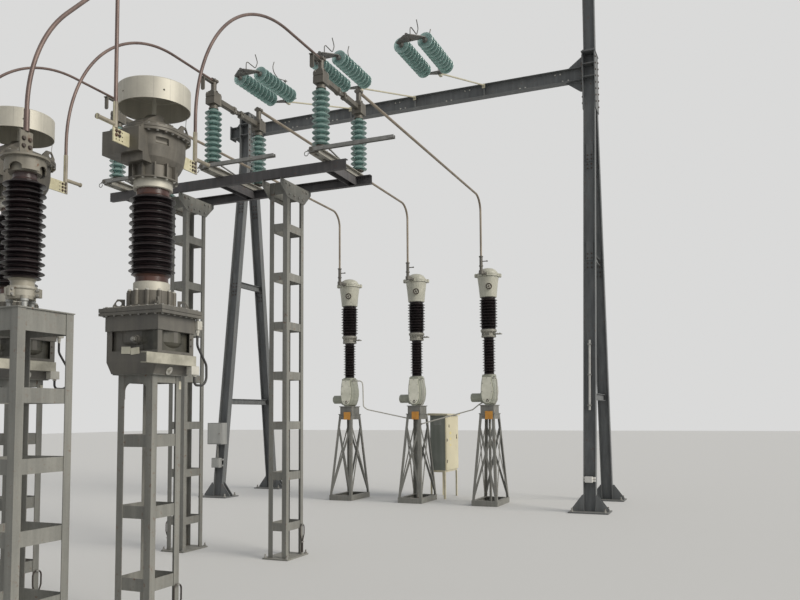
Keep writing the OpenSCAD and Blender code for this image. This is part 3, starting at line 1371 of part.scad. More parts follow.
// Lightning peak on the cap of the right support
module gantry_peak() {
  foot_plate = 18;
  mast_w = 120;
  mast_t = 8;
  rod_l = 420;
  rod_r = 10;
  gusset_h = 180;
  mast_l = peak_h - rod_l;
  color("slategray") translate([gantry_right_x, gantry_dist, apex_z]) {
    slab(column_w + 30, 2 * joint_half, foot_plate);
    linear_extrude(mast_l) h_section(mast_w, mast_w, mast_t);
    for (m = [0, 1]) mirror([m, 0, 0]) translate([0, mast_t / 2, foot_plate - 1]) rotate([90, 0, 0]) linear_extrude(mast_t)
      polygon([[0, 0], [mast_w / 2 + 56, 0], [mast_w / 2 + 56, 16], [mast_t, gusset_h], [0, gusset_h]]);
    translate([0, 0, mast_l - 1]) slab(mast_w + 10, mast_w + 10, 14);
    translate([0, 0, mast_l]) cylinder(r = rod_r, h = rod_l);
  }
}

// Box on the front leg, on two cross rails cut to the lean of the leg
module leg_box(x, w, d, h, z) {
  rail_h = 36;
  stand_off = leg_face(z) + 30;
  rear = gantry_dist - stand_off;
  translate([x, 0, z]) {
    translate([-w / 2, rear - d, 0]) cube([w, d, h]);
    for (zr = [h * 0.1, h * 0.9 - rail_h]) translate([-column_w / 2, 0, 0]) rotate([90, 0, 90])
      linear_extrude(column_w) polygon([[rear - 1, zr], [gantry_dist - leg_face(z + zr) - seat_gap, zr],
        [gantry_dist - leg_face(z + zr + rail_h) - seat_gap, zr + rail_h], [rear - 1, zr + rail_h]]);
  }
}

module gantry_boxes() {
  conduit_r = 22;
  conduit_z0 = 1770;
  conduit_z1 = 3040;
  color("silver") {
    leg_box(gantry_left_x, 350, 200, 450, 1110);
    leg_box(gantry_left_x, 180, 110, 200, 620);
    leg_box(gantry_right_x, 120, 80, 100, 520);
    // Conduit in the recess of the right front leg
    translate([gantry_right_x, gantry_dist - leg_mid(conduit_z0) - (column_t / 2 + conduit_r + seat_gap) / cos(leg_lean), conduit_z0])
      rotate([-leg_lean, 0, 0]) cylinder(r = conduit_r, h = conduit_z1 - conduit_z0);
  }
}

string_z = gantry_z - 750;
string_y = gantry_dist - 2740;
string_half = 200;
yoke_l = 90;
yoke_t = 16;

// Long rods from the beam down to the yokes of the strings
module string_rods() {
  y1 = gantry_dist - gantry_beam_w / 2 - seat_gap;
  rise = gantry_z + gantry_beam_h / 2 - 30 - string_z;
  rod_r = 15;
  lug_w = 60;
  lug_l = 90;
  fork_l = 110;
  color("cornsilk") for (i = phases) translate([phase_x(i) + string_shift, 0, 0]) {
    intersection() {
      translate([0, string_y, string_z]) rotate([-atan2(y1 - string_y, rise), 0, 0])
        translate([0, 0, -60]) cylinder(r = rod_r, h = 2 * gantry_dist);
      translate([-100, string_y, 0]) cube([200, y1 - string_y, 2 * gantry_z]);
    }
    translate([-lug_w / 2, y1 - 14, string_z + rise - lug_l / 2 - 20]) cube([lug_w, 14, lug_l]);
    translate([-rod_r - 8, string_y, string_z - rod_r - 8]) cube([2 * (rod_r + 8), fork_l, 2 * (rod_r + 8)]);
  }
}

// Strings of cap and pin discs, each disc a thin shell with a drip rim under its neck
module string_glass() {
  pin_neck_r = 42;
  color("mediumaquamarine") for (i = phases) translate([phase_x(i) + string_shift, string_y - yoke_l - 30, string_z])
    for (s = [-1, 1]) translate([s * string_half, 0, 0]) rotate([90, 0, 0]) rotate_extrude() polygon(concat(
      [[0, 0]],
      [for (k = [0 : disc_count - 1]) each [
        [pin_neck_r, k * disc_pitch], [pin_neck_r, k * disc_pitch + 44], [86, k * disc_pitch + 54],
        [disc_r - 8, k * disc_pitch + 70], [disc_r, k * disc_pitch + 78], [disc_r - 6, k * disc_pitch + 84],
        [76, k * disc_pitch + 76], [pin_neck_r - 12, k * disc_pitch + 82], [pin_neck_r - 12, k * disc_pitch + disc_pitch]]],
      [[0, disc_count * disc_pitch]]));
}

// Yoke plates with sockets at both ends of the strings, and the arcing horns
module string_fittings() {
  clevis_l = 30;
  clevis_r = 24;
  tip_l = 150;
  horn_r = 8;
  string_l = disc_count * disc_pitch;
  color("gray") for (i = phases) translate([phase_x(i) + string_shift, string_y, string_z]) {
    for (e = [0, 1]) translate([0, e * (-string_l - 2 * yoke_l - 2 * clevis_l), 0]) mirror([0, e, 0]) {
      translate([0, 0, -yoke_t / 2]) linear_extrude(yoke_t) polygon([[-40, 0], [40, 0],
        [string_half + 45, -yoke_l + 34], [string_half + 45, -yoke_l], [-string_half - 45, -yoke_l], [-string_half - 45, -yoke_l + 34]]);
      for (s = [-1, 1]) {
        translate([s * string_half, -yoke_l + 4, 0]) rotate([90, 0, 0]) cylinder(r = clevis_r, h = clevis_l + 4);
        strut([s * 30, -10, 0], [s * 45, -yoke_l - 150, 430], horn_r, horn_r);
      }
    }
    translate([0, -string_l - 2 * yoke_l - 2 * clevis_l - tip_l, 0]) rotate([-90, 0, 0]) cylinder(r = 20, h = tip_l + 4);
  }
}

arrester_pedestals();
arrester_feet();
arrester_clamps();
arrester_insulators();
arrester_caps();
arrester_leads();
transformer_pedestals();
transformer_tanks();
transformer_bases();
transformer_insulators();
transformer_rings();
transformer_heads();
expansion_covers();
transformer_terminals();
risers();
bay_leads();
platform_posts();
platform_gussets();
platform_beams();
pole_bases();
column_line_glass(1);  // column_1_line_glass
column_line_arm(1);  // column_1_line_arm
column_breaker_glass(1);  // column_1_breaker_glass
column_breaker_arm(1);  // column_1_breaker_arm
column_line_glass(0);  // column_2_line_glass
column_line_arm(0);  // column_2_line_arm
column_breaker_glass(0);  // column_2_breaker_glass
column_breaker_arm(0);  // column_2_breaker_arm
column_line_glass(-1);  // column_3_line_glass
column_line_arm(-1);  // column_3_line_arm
column_breaker_glass(-1);  // column_3_breaker_glass
column_breaker_arm(-1);  // column_3_breaker_arm
terminal_heads();
earthing_brackets();
earth_blade(1);  // earth_blade_1
earth_blade(0);  // earth_blade_2
earth_blade(-1);  // earth_blade_3
sync_rod(1);  // sync_rod_1
sync_rod(0);  // sync_rod_2
sync_rod(-1);  // sync_rod_3
breaker_pedestals();
breaker_mechanisms();
breaker_insulators();
breaker_flanges();
breaker_heads();
breaker_terminals();
breaker_leads();
control_cabinet();
cabinet_door();
gantry_left_support();
gantry_right_support();
gantry_beam();
gantry_peak();
gantry_boxes();
string_rods();
string_glass();
string_fittings();
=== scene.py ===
# %% [markdown]
# # A substation switchgear bay
# One bay of an outdoor switchyard: three surge arresters, three current
# transformers, a three pole disconnector on its platform, three circuit
# breakers, their control cabinet and the line gantry behind them. The packed
# model gives every solid in metres: X across the bay, Y along the line, Z up.
# The solids stay where they are. This script gives them their finishes and
# adds what is too small for them: bolts, straps, handles and cables.

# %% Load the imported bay
import math

import bmesh
import bpy
from mathutils import Matrix, Vector


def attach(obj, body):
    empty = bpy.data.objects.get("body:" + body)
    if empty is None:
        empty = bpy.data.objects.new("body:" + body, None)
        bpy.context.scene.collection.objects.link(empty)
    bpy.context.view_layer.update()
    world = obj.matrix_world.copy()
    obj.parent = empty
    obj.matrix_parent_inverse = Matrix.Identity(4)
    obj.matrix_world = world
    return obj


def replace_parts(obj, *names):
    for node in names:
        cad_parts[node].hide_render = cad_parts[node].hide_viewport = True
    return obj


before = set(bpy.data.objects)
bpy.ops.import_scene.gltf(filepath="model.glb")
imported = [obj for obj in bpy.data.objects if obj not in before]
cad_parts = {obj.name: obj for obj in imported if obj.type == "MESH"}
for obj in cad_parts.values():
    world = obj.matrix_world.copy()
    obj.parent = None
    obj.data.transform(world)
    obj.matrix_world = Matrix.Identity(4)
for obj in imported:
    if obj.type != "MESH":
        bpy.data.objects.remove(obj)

scene = bpy.context.scene
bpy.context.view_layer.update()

# %% [markdown]
# ## Camera
# The photograph was taken from eye height beside the nearest surge arrester.
# The eye point and the three turns come from the three phases, which stand at
# equal steps. The lens is a moderate wide angle. The horizon lies below the
# middle of the picture, which a small vertical shift takes up.

# %% Camera at the photograph's angle
EYE = (5.74, -8.271, 1.696)
HEADING, PITCH, ROLL = 22.806, 3.685, -0.326
PICTURE, SENSOR = (800, 600), 36.0
FOCAL, AXIS_ROW = 780.18, 365.15
FAR_CLIP = 400


def moved(x, y, z):
    return Matrix.Translation((x, y, z))


def turned(degrees, axis):
    return Matrix.Rotation(math.radians(degrees), 4, axis)


def added(name, data):
    made = bpy.data.objects.new(name, data)
    scene.collection.objects.link(made)
    return made


lens = bpy.data.cameras.new("bay_camera")
lens.sensor_width = SENSOR
lens.lens = FOCAL * SENSOR / PICTURE[0]
lens.shift_y = (AXIS_ROW - PICTURE[1] / 2) / PICTURE[0]
lens.clip_end = FAR_CLIP
scene.camera = added("bay_camera", lens)
scene.camera.matrix_world = (moved(*EYE) @ turned(HEADING, "Z") @ turned(90 + PITCH, "X")
                             @ turned(ROLL, "Z"))
scene.view_settings.view_transform = "Standard"
print("lens", round(lens.lens, 2), "mm, shift", round(lens.shift_y, 4))

# %% [markdown]
# ## Node helpers
# Every finish is a network of noises and ramps on object coordinates. These
# helpers add one node, one ramp, one colour mix or one placed coordinate in a
# line each, so that a finish reads as a short recipe.

# %% Helpers for node networks
DENT = 0.002
finishes = {}


def feed(tree, made, inputs):
    for key, value in inputs.items():
        if isinstance(value, bpy.types.NodeSocket):
            tree.links.new(value, made.inputs[key])
        else:
            made.inputs[key].default_value = value
    return made


def node(tree, kind, inputs=None, **settings):
    made = tree.nodes.new("ShaderNode" + kind)
    for key, value in settings.items():
        setattr(made, key, value)
    return feed(tree, made, inputs or {})


def own_place(tree):
    return node(tree, "TexCoord").outputs["Object"]


def placed(tree, scale=(1, 1, 1), centre=(0, 0, 0)):
    shift = [-c * s for c, s in zip(centre, scale)]
    return node(tree, "Mapping", {"Vector": own_place(tree), "Scale": scale,
                                  "Location": shift}).outputs[0]


def noise(tree, where, scale, detail=4.0, roughness=0.55, distortion=0.0):
    return node(tree, "TexNoise", {"Vector": where, "Scale": scale, "Detail": detail,
                                   "Roughness": roughness, "Distortion": distortion}).outputs[0]


def ramp(tree, factor, stops):
    made = node(tree, "ValToRGB", {"Fac": factor})
    band = made.color_ramp.elements
    while len(band) < len(stops):
        band.new(0.5)
    for element, (position, colour) in zip(band, stops):
        element.position = position
        element.color = (*colour, 1)
    return made.outputs[0]


def grey(value):
    return (value, value, value)


def grey_ramp(tree, factor, stops):
    return ramp(tree, factor, [(position, grey(value)) for position, value in stops])


def maths(tree, operation, a, b=0.0, clamp=False):
    return node(tree, "Math", {0: a, 1: b}, operation=operation, use_clamp=clamp).outputs[0]


def mixed(tree, factor, a, b, kind="MIX"):
    a, b = (v if isinstance(v, bpy.types.NodeSocket) else (*v, 1) for v in (a, b))
    return node(tree, "Mix", {0: factor, 6: a, 7: b}, data_type="RGBA",
                blend_type=kind).outputs[2]


def times(tree, a, b):
    return mixed(tree, 1.0, a, b, "MULTIPLY")


def facing_up(tree, low, high):
    normal = node(tree, "NewGeometry").outputs["Normal"]
    upward = node(tree, "SeparateXYZ", {0: normal}).outputs[2]
    return grey_ramp(tree, upward, [(low, 0), (high, 1)])


def dents(tree, height, strength):
    return node(tree, "Bump", {"Height": height, "Strength": strength,
                               "Distance": DENT}).outputs[0]


def new_finish(name):
    finishes[name] = bpy.data.materials.new(name)
    finishes[name].use_nodes = True
    tree = finishes[name].node_tree
    return tree, tree.nodes["Principled BSDF"]


# %% [markdown]
# ## Weathered coats
# Paint, zinc and cast metal outdoors age alike: broad patches of tone, rain
# streaks down the upright faces, dust on what faces up, and specks of rust.
# One recipe makes all of them. Its rows give a dark and a light tone in
# thousandths, then roughness, metal, size of patches, streaks and dust.

# %% Recipe for painted, galvanised and cast surfaces
DUST = (0.3, 0.28, 0.24)
RUST = (0.13, 0.055, 0.025)
DRIP_SCALE = (16, 16, 0.9)


def toned(*tones):
    return [[v / 1000 for v in tone] for tone in tones]


def weathered(name, dark, light, rough=(0.5, 0.75), metallic=0.0, patch=1.6, streak=0.5,
              dust=0.3, rust=0.0, grain=0.12, grain_size=90.0):
    tree, shader = new_finish(name)
    plain = placed(tree)
    broad = noise(tree, plain, patch, 5, 0.6)
    fine = noise(tree, plain, grain_size, 3, 0.6)
    drips = noise(tree, placed(tree, DRIP_SCALE), 1.0, 4, 0.65)
    tone = mixed(tree, 0.18, mixed(tree, streak, broad, drips), fine)
    dark, light = toned(dark, light)
    middle = [(a + b) / 2 for a, b in zip(dark, light)]
    colour = ramp(tree, tone, [(0.36, dark), (0.52, middle), (0.66, light)])
    settled = times(tree, facing_up(tree, 0.55, 0.98),
                    grey_ramp(tree, broad, [(0.35, 0.5), (0.65, 1)]))
    colour = mixed(tree, times(tree, settled, grey(dust)), colour, DUST)
    if rust:
        spots = noise(tree, plain, 23, 6, 0.7, 0.4)
        edge = 0.6 - rust * 0.1
        where = times(tree, grey_ramp(tree, spots, [(edge, 0), (edge + 0.1, 1)]),
                      grey_ramp(tree, drips, [(0.45, 0.15), (0.62, 1)]))
        colour = mixed(tree, where, colour, RUST)
    worn = grey_ramp(tree, mixed(tree, 0.5, broad, fine), [(0.3, rough[0]), (0.7, rough[1])])
    feed(tree, shader, {"Base Color": colour, "Roughness": worn, "Metallic": metallic,
                        "Normal": dents(tree, mixed(tree, 0.35, fine, drips), grain)})


# %% Painted steel and castings
weathered("steel", (135, 136, 124), (245, 243, 218), streak=0.6, rust=0.25)
weathered("pole_base", (220, 215, 190), (360, 350, 310), dust=0.4, rust=0.4)
# Painted shade: the platform beams take a much darker copy of the platform steel, for their
# undersides seen in shade from below.
weathered("shaded_beam_steel", (50, 48, 50), (105, 102, 104), dust=0.4, rust=0.2)
weathered("gantry", (85, 91, 94), (168, 176, 176), patch=0.8, streak=0.7, rust=0.2)
weathered("casting", (78, 73, 62), (155, 142, 118), (0.4, 0.6), 0.25, 7, dust=0.5, grain=0.25)
weathered("tank", (80, 77, 69), (145, 136, 115), (0.38, 0.58), 0, 5, dust=0.75, grain=0.16)
weathered("cap", (130, 121, 98), (240, 222, 182), (0.45, 0.65), 0.1, 9, dust=0.5, rust=0.3)
weathered("clamp", (240, 230, 195), (420, 400, 340), (0.45, 0.65), 0.2, 11, dust=0.5, rust=0.3)
weathered("terminal", (80, 75, 65), (160, 150, 130), (0.4, 0.6), 0.3, 9, dust=0.4)
print("steel and castings:", ", ".join(finishes))

# %% Zinc, copper, aluminium and bolts
weathered("zinc", (270, 275, 265), (440, 445, 430), (0.42, 0.62), 0.35, 9, 0.2)
weathered("zinc_cream", (220, 215, 185), (370, 360, 310), (0.45, 0.65), 0.25, 9, 0.2, rust=0.3)
weathered("fitting", (85, 85, 80), (190, 188, 175), (0.42, 0.62), 0.3, 9, rust=0.4)
weathered("lead", (170, 140, 108), (310, 265, 205), (0.4, 0.58), 0.3, 5, 0.25, 0.35)
weathered("copper", (95, 65, 58), (200, 145, 125), (0.38, 0.55), 0.35, 5, 0.25, 0.35)
weathered("aluminium", (400, 384, 330), (550, 530, 458), (0.5, 0.64), 0.35, 4, 0.35, grain=0.05)
weathered("cover", (392, 376, 322), (542, 521, 450), (0.5, 0.64), 0.35, 4, 0.45, grain=0.05)
weathered("blade", (150, 150, 142), (300, 298, 282), (0.35, 0.5), 0.5, 8)
weathered("bolt", (200, 198, 185), (380, 375, 350), (0.4, 0.6), 0.5, 20, rust=0.6)
weathered("dark_bolt", (45, 38, 33), (130, 105, 90), (0.45, 0.65), 0.4, 20, rust=0.9)
weathered("bright_bolt", (420, 410, 370), (620, 610, 560), (0.3, 0.45), 0.6, 20, rust=0.3)
weathered("cream_metal", (420, 390, 250), (660, 620, 450), (0.45, 0.65), 0.15, 12, rust=0.3)

# %% Light paints, plates, rubber and braid
weathered("cream_paint", (560, 510, 350), (700, 650, 470), (0.35, 0.55), 0, 3, 0.6, 0.35)
weathered("rod_paint", (360, 340, 250), (500, 470, 360), (0.4, 0.6), 0, 3, 0.6, rust=0.4)
weathered("head_paint", (360, 360, 300), (520, 510, 430), (0.35, 0.55), 0, 5, dust=0.4)
weathered("housing_paint", (250, 260, 210), (380, 390, 320), (0.35, 0.55), 0, 4, 0.6, 0.45)
weathered("grey_paint", (300, 305, 290), (420, 420, 395), (0.4, 0.6), 0, 3, 0.6, 0.4)
weathered("cabinet", (165, 180, 158), (255, 270, 240), (0.4, 0.6), 0, 3, 0.6)
weathered("boxes", (200, 205, 200), (320, 322, 308), (0.4, 0.6), 0, 3, 0.6)
weathered("plate", (480, 460, 360), (660, 640, 530), (0.35, 0.5), 0, 14, grain=0.05)
weathered("plate_yellow", (620, 520, 180), (780, 690, 320), (0.3, 0.45), 0, 14, grain=0.04)
weathered("orange", (480, 200, 30), (680, 340, 60), (0.35, 0.5), 0, 9, rust=0.3, grain=0.05)
weathered("pale_box", (400, 390, 345), (560, 550, 495), (0.4, 0.6), 0, 9, dust=0.35, rust=0.3)
weathered("rubber", (18, 18, 19), (50, 48, 46), (0.45, 0.65), 0, 9, grain=0.2, grain_size=240)
weathered("braid", (30, 26, 24), (85, 72, 62), (0.5, 0.7), 0.3, 12, grain=0.6, grain_size=420)
print("weathered finishes", len(finishes))

# %% [markdown]
# ## Two tones on one solid
# Some solids carry two coats: light legs under a grey cabinet, a pale shelf on
# a dark tank. The dark tone in the tank windows is no coat but painted shade in
# the recess. A second tone goes over the first where a mask is one. The mask
# compares object coordinates with limits, so it follows the solid. "phase" is
# the distance from the nearest phase, the same for all three.

# %% Masks along an axis, and a second tone
PHASE = 1.5
FAR = 99.0
X, Y, Z = 0, 1, 2


def coordinate(tree, axis):
    return node(tree, "SeparateXYZ", {0: own_place(tree)}).outputs[axis]


def wrapped_phase(tree, shift=0.0):
    away = maths(tree, "SUBTRACT", coordinate(tree, X), shift)
    return node(tree, "Math", {0: away, 1: PHASE / 2, 2: -PHASE / 2}, operation="WRAP").outputs[0]


def zone(*limits):
    def mask(tree):
        inside = 1.0
        for axis, low, high in limits:
            along = wrapped_phase(tree) if axis == "phase" else coordinate(tree, axis)
            for test, limit in (("GREATER_THAN", low), ("LESS_THAN", high)):
                inside = maths(tree, "MULTIPLY", inside, maths(tree, test, along, limit))
        return inside
    return mask


def overpainted(name, mask, *tones):
    tree = finishes[name].node_tree
    shader = tree.nodes["Principled BSDF"]
    first = shader.inputs["Base Color"].links[0].from_socket
    dark, light = toned(*tones)
    second = ramp(tree, noise(tree, placed(tree), 6, 5, 0.6), [(0.38, dark), (0.64, light)])
    feed(tree, shader, {"Base Color": mixed(tree, mask(tree), first, second)})


# %% Second tones of tanks, cabinet, boxes and housings, with painted shade in the tank windows
SHELF_X, SHELF_TOP = 0.2505, 2.19
WINDOW_Z0, WINDOW_Z1, WINDOW_X0, WINDOW_X1 = 2.209, 2.362, 0.08, 0.2465
LEG_TOP, ROOF_EDGE = 0.58, 1.69
COVER_BACK = 6.0795
overpainted("tank", zone(("phase", SHELF_X, FAR), (Z, -FAR, SHELF_TOP)),
            (260, 250, 205), (430, 415, 345))
# Painted shade: a dark tone in the windows of the tank darkens the recess and the panels behind
# it.
overpainted("tank", zone(("phase", WINDOW_X0, WINDOW_X1), (Z, WINDOW_Z0, WINDOW_Z1)),
            (32, 31, 24), (75, 72, 56))
for low, high in ((-FAR, LEG_TOP), (ROOF_EDGE, FAR)):
    overpainted("cabinet", zone((Z, low, high)), (500, 460, 330), (660, 610, 450))
overpainted("boxes", zone((X, 0.0, FAR)), (480, 480, 450), (640, 630, 600))
overpainted("housing_paint", zone((Y, -FAR, COVER_BACK)), (600, 600, 500), (760, 750, 640))
print("two-tone finishes: tank, cabinet, boxes, housings")

# %% Brown sleeves on cream pads, and seams round the expansion covers
PAD_FACE, SLEEVE_Y = 0.0075, -2.8
SEAMS, SEAM_SHARE, SEAM_STRENGTH = 14, 0.035, 0.55
TRANSFORMER_Y = -3.32


def sleeve_mask(tree):
    beside = maths(tree, "ABSOLUTE", wrapped_phase(tree))
    return maths(tree, "MAXIMUM", maths(tree, "GREATER_THAN", beside, PAD_FACE),
                 maths(tree, "GREATER_THAN", coordinate(tree, Y), SLEEVE_Y))


def seam_mask(tree):
    behind = maths(tree, "SUBTRACT", coordinate(tree, Y), TRANSFORMER_Y)
    turn = maths(tree, "ARCTAN2", behind, wrapped_phase(tree))
    step = maths(tree, "FRACT", maths(tree, "MULTIPLY", turn, SEAMS / (2 * math.pi)))
    return maths(tree, "MULTIPLY", maths(tree, "LESS_THAN", step, SEAM_SHARE), SEAM_STRENGTH)


overpainted("cream_metal", sleeve_mask, (175, 155, 120), (310, 280, 220))
overpainted("cover", seam_mask, (240, 230, 210), (380, 360, 330))
print("seams round a cover:", SEAMS)

# %% [markdown]
# ## Glazed porcelain and toughened glass
# The brown glaze is almost black in the shade and mirrors the sky along every
# shed, with road dust on the upper sides. Bare brown collars close it at both
# ends. The glass discs are teal and milky where they are thick, with painted
# shade darkening them toward the cap and a painted highlight lightening the rim.


# %% Brown glaze with bare collars
def brown_glaze(name, collars=()):
    tree, shader = new_finish(name)
    plain = placed(tree)
    broad = noise(tree, plain, 6, 4)
    fine = noise(tree, plain, 70, 4, 0.7)
    colour = ramp(tree, broad, [(0.35, (0.007, 0.005, 0.006)), (0.65, (0.016, 0.01, 0.011))])
    film = times(tree, facing_up(tree, 0.5, 0.98),
                 grey_ramp(tree, fine, [(0.38, 0.1), (0.62, 0.5)]))
    feed(tree, shader, {"Base Color": mixed(tree, film, colour, (0.07, 0.057, 0.055)),
                        "Roughness": grey_ramp(tree, film, [(0.0, 0.3), (0.5, 0.55)]),
                        "Specular IOR Level": 0.35, "Coat Weight": 0.1, "Coat Roughness": 0.15,
                        "Normal": dents(tree, fine, 0.05)})
    for low, high, tones in collars:
        overpainted(name, zone((Z, low, high)), *tones)


BARE_BROWN = ((50, 24, 20), (95, 44, 34))
BEIGE = ((190, 175, 140), (310, 290, 235))
PURPLE_BROWN = ((40, 27, 27), (80, 54, 52))
brown_glaze("arrester_glaze", ((2.548, 2.598, BEIGE), (3.25, 3.3, PURPLE_BROWN)))
brown_glaze("transformer_glaze", ((2.764, 2.82, BARE_BROWN), (3.458, 3.514, BARE_BROWN)))
brown_glaze("breaker_glaze")
print("glazes made")


# %% Teal glass with grey caps, centred on its own axis
def teal_glass(name, radial, cap_radius):
    tree, shader = new_finish(name)
    reach = node(tree, "VectorMath", {0: radial(tree)}, operation="LENGTH").outputs["Value"]
    milky = noise(tree, placed(tree), 30, 4, 0.6)
    colour = ramp(tree, milky, [(0.35, (0.17, 0.32, 0.29)), (0.65, (0.33, 0.5, 0.465))])
    # Painted light: toward the cap the colour darkens as painted shade between the stacked discs,
    # and toward the rim it lightens as a painted highlight.
    shade_to_rim_highlight = maths(tree, "DIVIDE", maths(tree, "SUBTRACT", reach, cap_radius), 0.07, True)
    colour = mixed(tree, shade_to_rim_highlight, mixed(tree, 0.55, colour, (0.1, 0.23, 0.21)),
                   mixed(tree, 0.55, colour, (0.56, 0.74, 0.7)))
    dusty = times(tree, facing_up(tree, 0.3, 1.0), grey(0.35))
    colour = mixed(tree, dusty, colour, (0.42, 0.5, 0.46))
    cap = maths(tree, "LESS_THAN", reach, cap_radius)
    feed(tree, shader, {"Base Color": mixed(tree, cap, colour, (0.13, 0.13, 0.12)),
                        "Roughness": grey_ramp(tree, cap, [(0.0, 0.12), (1.0, 0.6)]),
                        "Transmission Weight": grey_ramp(tree, cap, [(0.0, 0.42), (1.0, 0.0)]),
                        "IOR": 1.5, "Normal": dents(tree, milky, 0.04)})


COLUMN_Y, COLUMN_CAP = 0.5, 0.0495
PHASES = (PHASE, 0.0, -PHASE)
for pole, x in enumerate(PHASES, 1):
    for part, y in (("line", -COLUMN_Y), ("breaker", COLUMN_Y)):
        teal_glass("column_%d_%s_glass" % (pole, part),
                   lambda tree: placed(tree, (1, 1, 0), (x, y, 0)), COLUMN_CAP)
print("glass of the columns made")

# %% Teal glass of the six tension strings, which lie along Y at equal steps
STRING_SHIFT, STRING_X, STRING_Z = -0.13, 0.2, 7.5
STRING_CAP = 0.044


def off_string(tree):
    beside = maths(tree, "ABSOLUTE", wrapped_phase(tree, STRING_SHIFT))
    return node(tree, "CombineXYZ", {0: maths(tree, "SUBTRACT", beside, STRING_X),
                                     2: maths(tree, "SUBTRACT", coordinate(tree, Z),
                                              STRING_Z)}).outputs[0]


teal_glass("string_glass", off_string, STRING_CAP)
print("string glass made")

# %% [markdown]
# ## Finishes on the solids
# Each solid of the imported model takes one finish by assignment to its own
# material slot. A table of names keeps that in one place.

# %% Give every solid its finish
NODE_FINISH = {
    "steel": "arrester_pedestals transformer_pedestals platform_posts platform_gussets "
             "breaker_pedestals",
    "pole_base": "pole_bases", "shaded_beam_steel": "platform_beams", "zinc": "arrester_feet",
    "gantry": "gantry_left_support gantry_right_support gantry_beam gantry_peak",
    "zinc_cream": "breaker_flanges", "fitting": "string_fittings", "clamp": "arrester_clamps",
    "cap": "arrester_caps", "arrester_glaze": "arrester_insulators",
    "transformer_glaze": "transformer_insulators", "breaker_glaze": "breaker_insulators",
    "casting": "transformer_bases transformer_heads terminal_heads earthing_brackets",
    "tank": "transformer_tanks", "copper": "arrester_leads risers bay_leads",
    "lead": "breaker_leads", "aluminium": "transformer_rings", "cover": "expansion_covers",
    "cream_metal": "transformer_terminals", "terminal": "breaker_terminals",
    "housing_paint": "breaker_mechanisms", "head_paint": "breaker_heads",
    "cream_paint": "cabinet_door", "rod_paint": "string_rods", "cabinet": "control_cabinet",
    "boxes": "gantry_boxes", "string_glass": "string_glass",
}
finish_of = {name: finish for finish, names in NODE_FINISH.items() for name in names.split()}
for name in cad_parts:
    if name.startswith("column_"):
        finish_of[name] = name if name.endswith("glass") else "casting"
    elif name.startswith(("earth_blade", "sync_rod")):
        finish_of[name] = "blade"

for name, finish in finish_of.items():
    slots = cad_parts[name].data.materials
    slots.clear()
    slots.append(finishes[finish])
print("solids without a finish:", sorted(set(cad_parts) - set(finish_of)))

# %% [markdown]
# ## Tools for the added pieces
# The added pieces are small: bolts, plates, glands, rods and cables. Each is
# built where it belongs, in the coordinates of the bay, so its object stays at
# the origin. A face and the way it looks out are enough to place a shape.

# %% Helpers that stand shapes on faces
UP, DOWN, RIGHT, LEFT = (0, 0, 1), (0, 0, -1), (1, 0, 0), (-1, 0, 0)
FRONT, BACK = (0, -1, 0), (0, 1, 0)
SIDES = (-1, 1)
M8, M12, M16, M20, M30 = 0.0075, 0.0105, 0.0139, 0.0173, 0.0266


def both(value):
    return (-value, value)


def standing(where, out):
    return Matrix.Translation(where) @ Vector(out).to_track_quat("Z", "Y").to_matrix().to_4x4()


def spread(x, y, z, out, dx=(0,), dy=(0,), dz=(0,)):
    return [standing((x + a, y + b, z + c), out) for a in dx for b in dy for c in dz]


def around(x, y, z, out, radius, count, start=0.0):
    turns = [math.radians(start + 360 * k / count) for k in range(count)]
    return [standing((x + radius * math.cos(t), y + radius * math.sin(t), z), out)
            for t in turns]


def disc(mesh, place, radius, height, sides, top=None, start=0.0):
    bmesh.ops.create_cone(mesh, cap_ends=True, segments=sides, radius1=radius,
                          radius2=radius if top is None else top, depth=height,
                          matrix=place @ moved(0, 0, start + height / 2))


def rounded_edges(mesh, corners, edge):
    edges = list({e for v in corners for e in v.link_edges})
    bmesh.ops.bevel(mesh, geom=edges, offset=edge, segments=2, profile=0.5,
                    affect="EDGES", material=-1, clamp_overlap=True)


def block(mesh, low, high, edge=0.0, place=Matrix()):
    size = [b - a for a, b in zip(low, high)]
    middle = [(a + b) / 2 for a, b in zip(low, high)]
    made = bmesh.ops.create_cube(mesh, size=1.0,
                                 matrix=place @ moved(*middle) @ Matrix.Diagonal((*size, 1)))
    if edge:
        rounded_edges(mesh, made["verts"], edge)


def shaped(places, blocks=(), discs=(), mesh=None):
    mesh = mesh or bmesh.new()
    for place in places:
        for low, high, edge in blocks:
            block(mesh, low, high, edge, place)
        for where, out, *sizes in discs:
            disc(mesh, place @ standing(where, out), *sizes)
    return mesh


# %% Helpers for bolts and for finishing a piece
def bolt(mesh, place, size, stud=0.0):
    disc(mesh, place, size * 1.15, size * 0.2, 10)
    disc(mesh, place, size, size * 0.6, 6, start=size * 0.2)
    disc(mesh, place, size, size * 0.14, 6, size * 0.84, size * 0.8)
    if stud:
        disc(mesh, place, size * 0.55, stud, 8, start=size * 0.9)


def dressed_piece(name, data, finish, body):
    data.materials.append(finishes[finish])
    made = added(name, data)
    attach(made, body)
    return made


def mesh_data(name, mesh, smooth=False):
    data = bpy.data.meshes.new(name)
    mesh.to_mesh(data)
    mesh.free()
    for face in data.polygons:
        face.use_smooth = smooth
    return data


def finished(name, mesh, finish, body="bay", smooth=False):
    return dressed_piece(name, mesh_data(name, mesh, smooth), finish, body)


def bolt_set(name, places, size, finish="bolt", body="bay", stud=0.0):
    mesh = bmesh.new()
    for place in places:
        bolt(mesh, place, size, stud)
    finished(name, mesh, finish, body=body)
    print(name, len(places))


# %% [markdown]
# ## Rods and cables
# A bent rod is a curve with a round section. Its corners are rounded first, by
# an arc of a few steps in each, the way a rod is bent over a former.


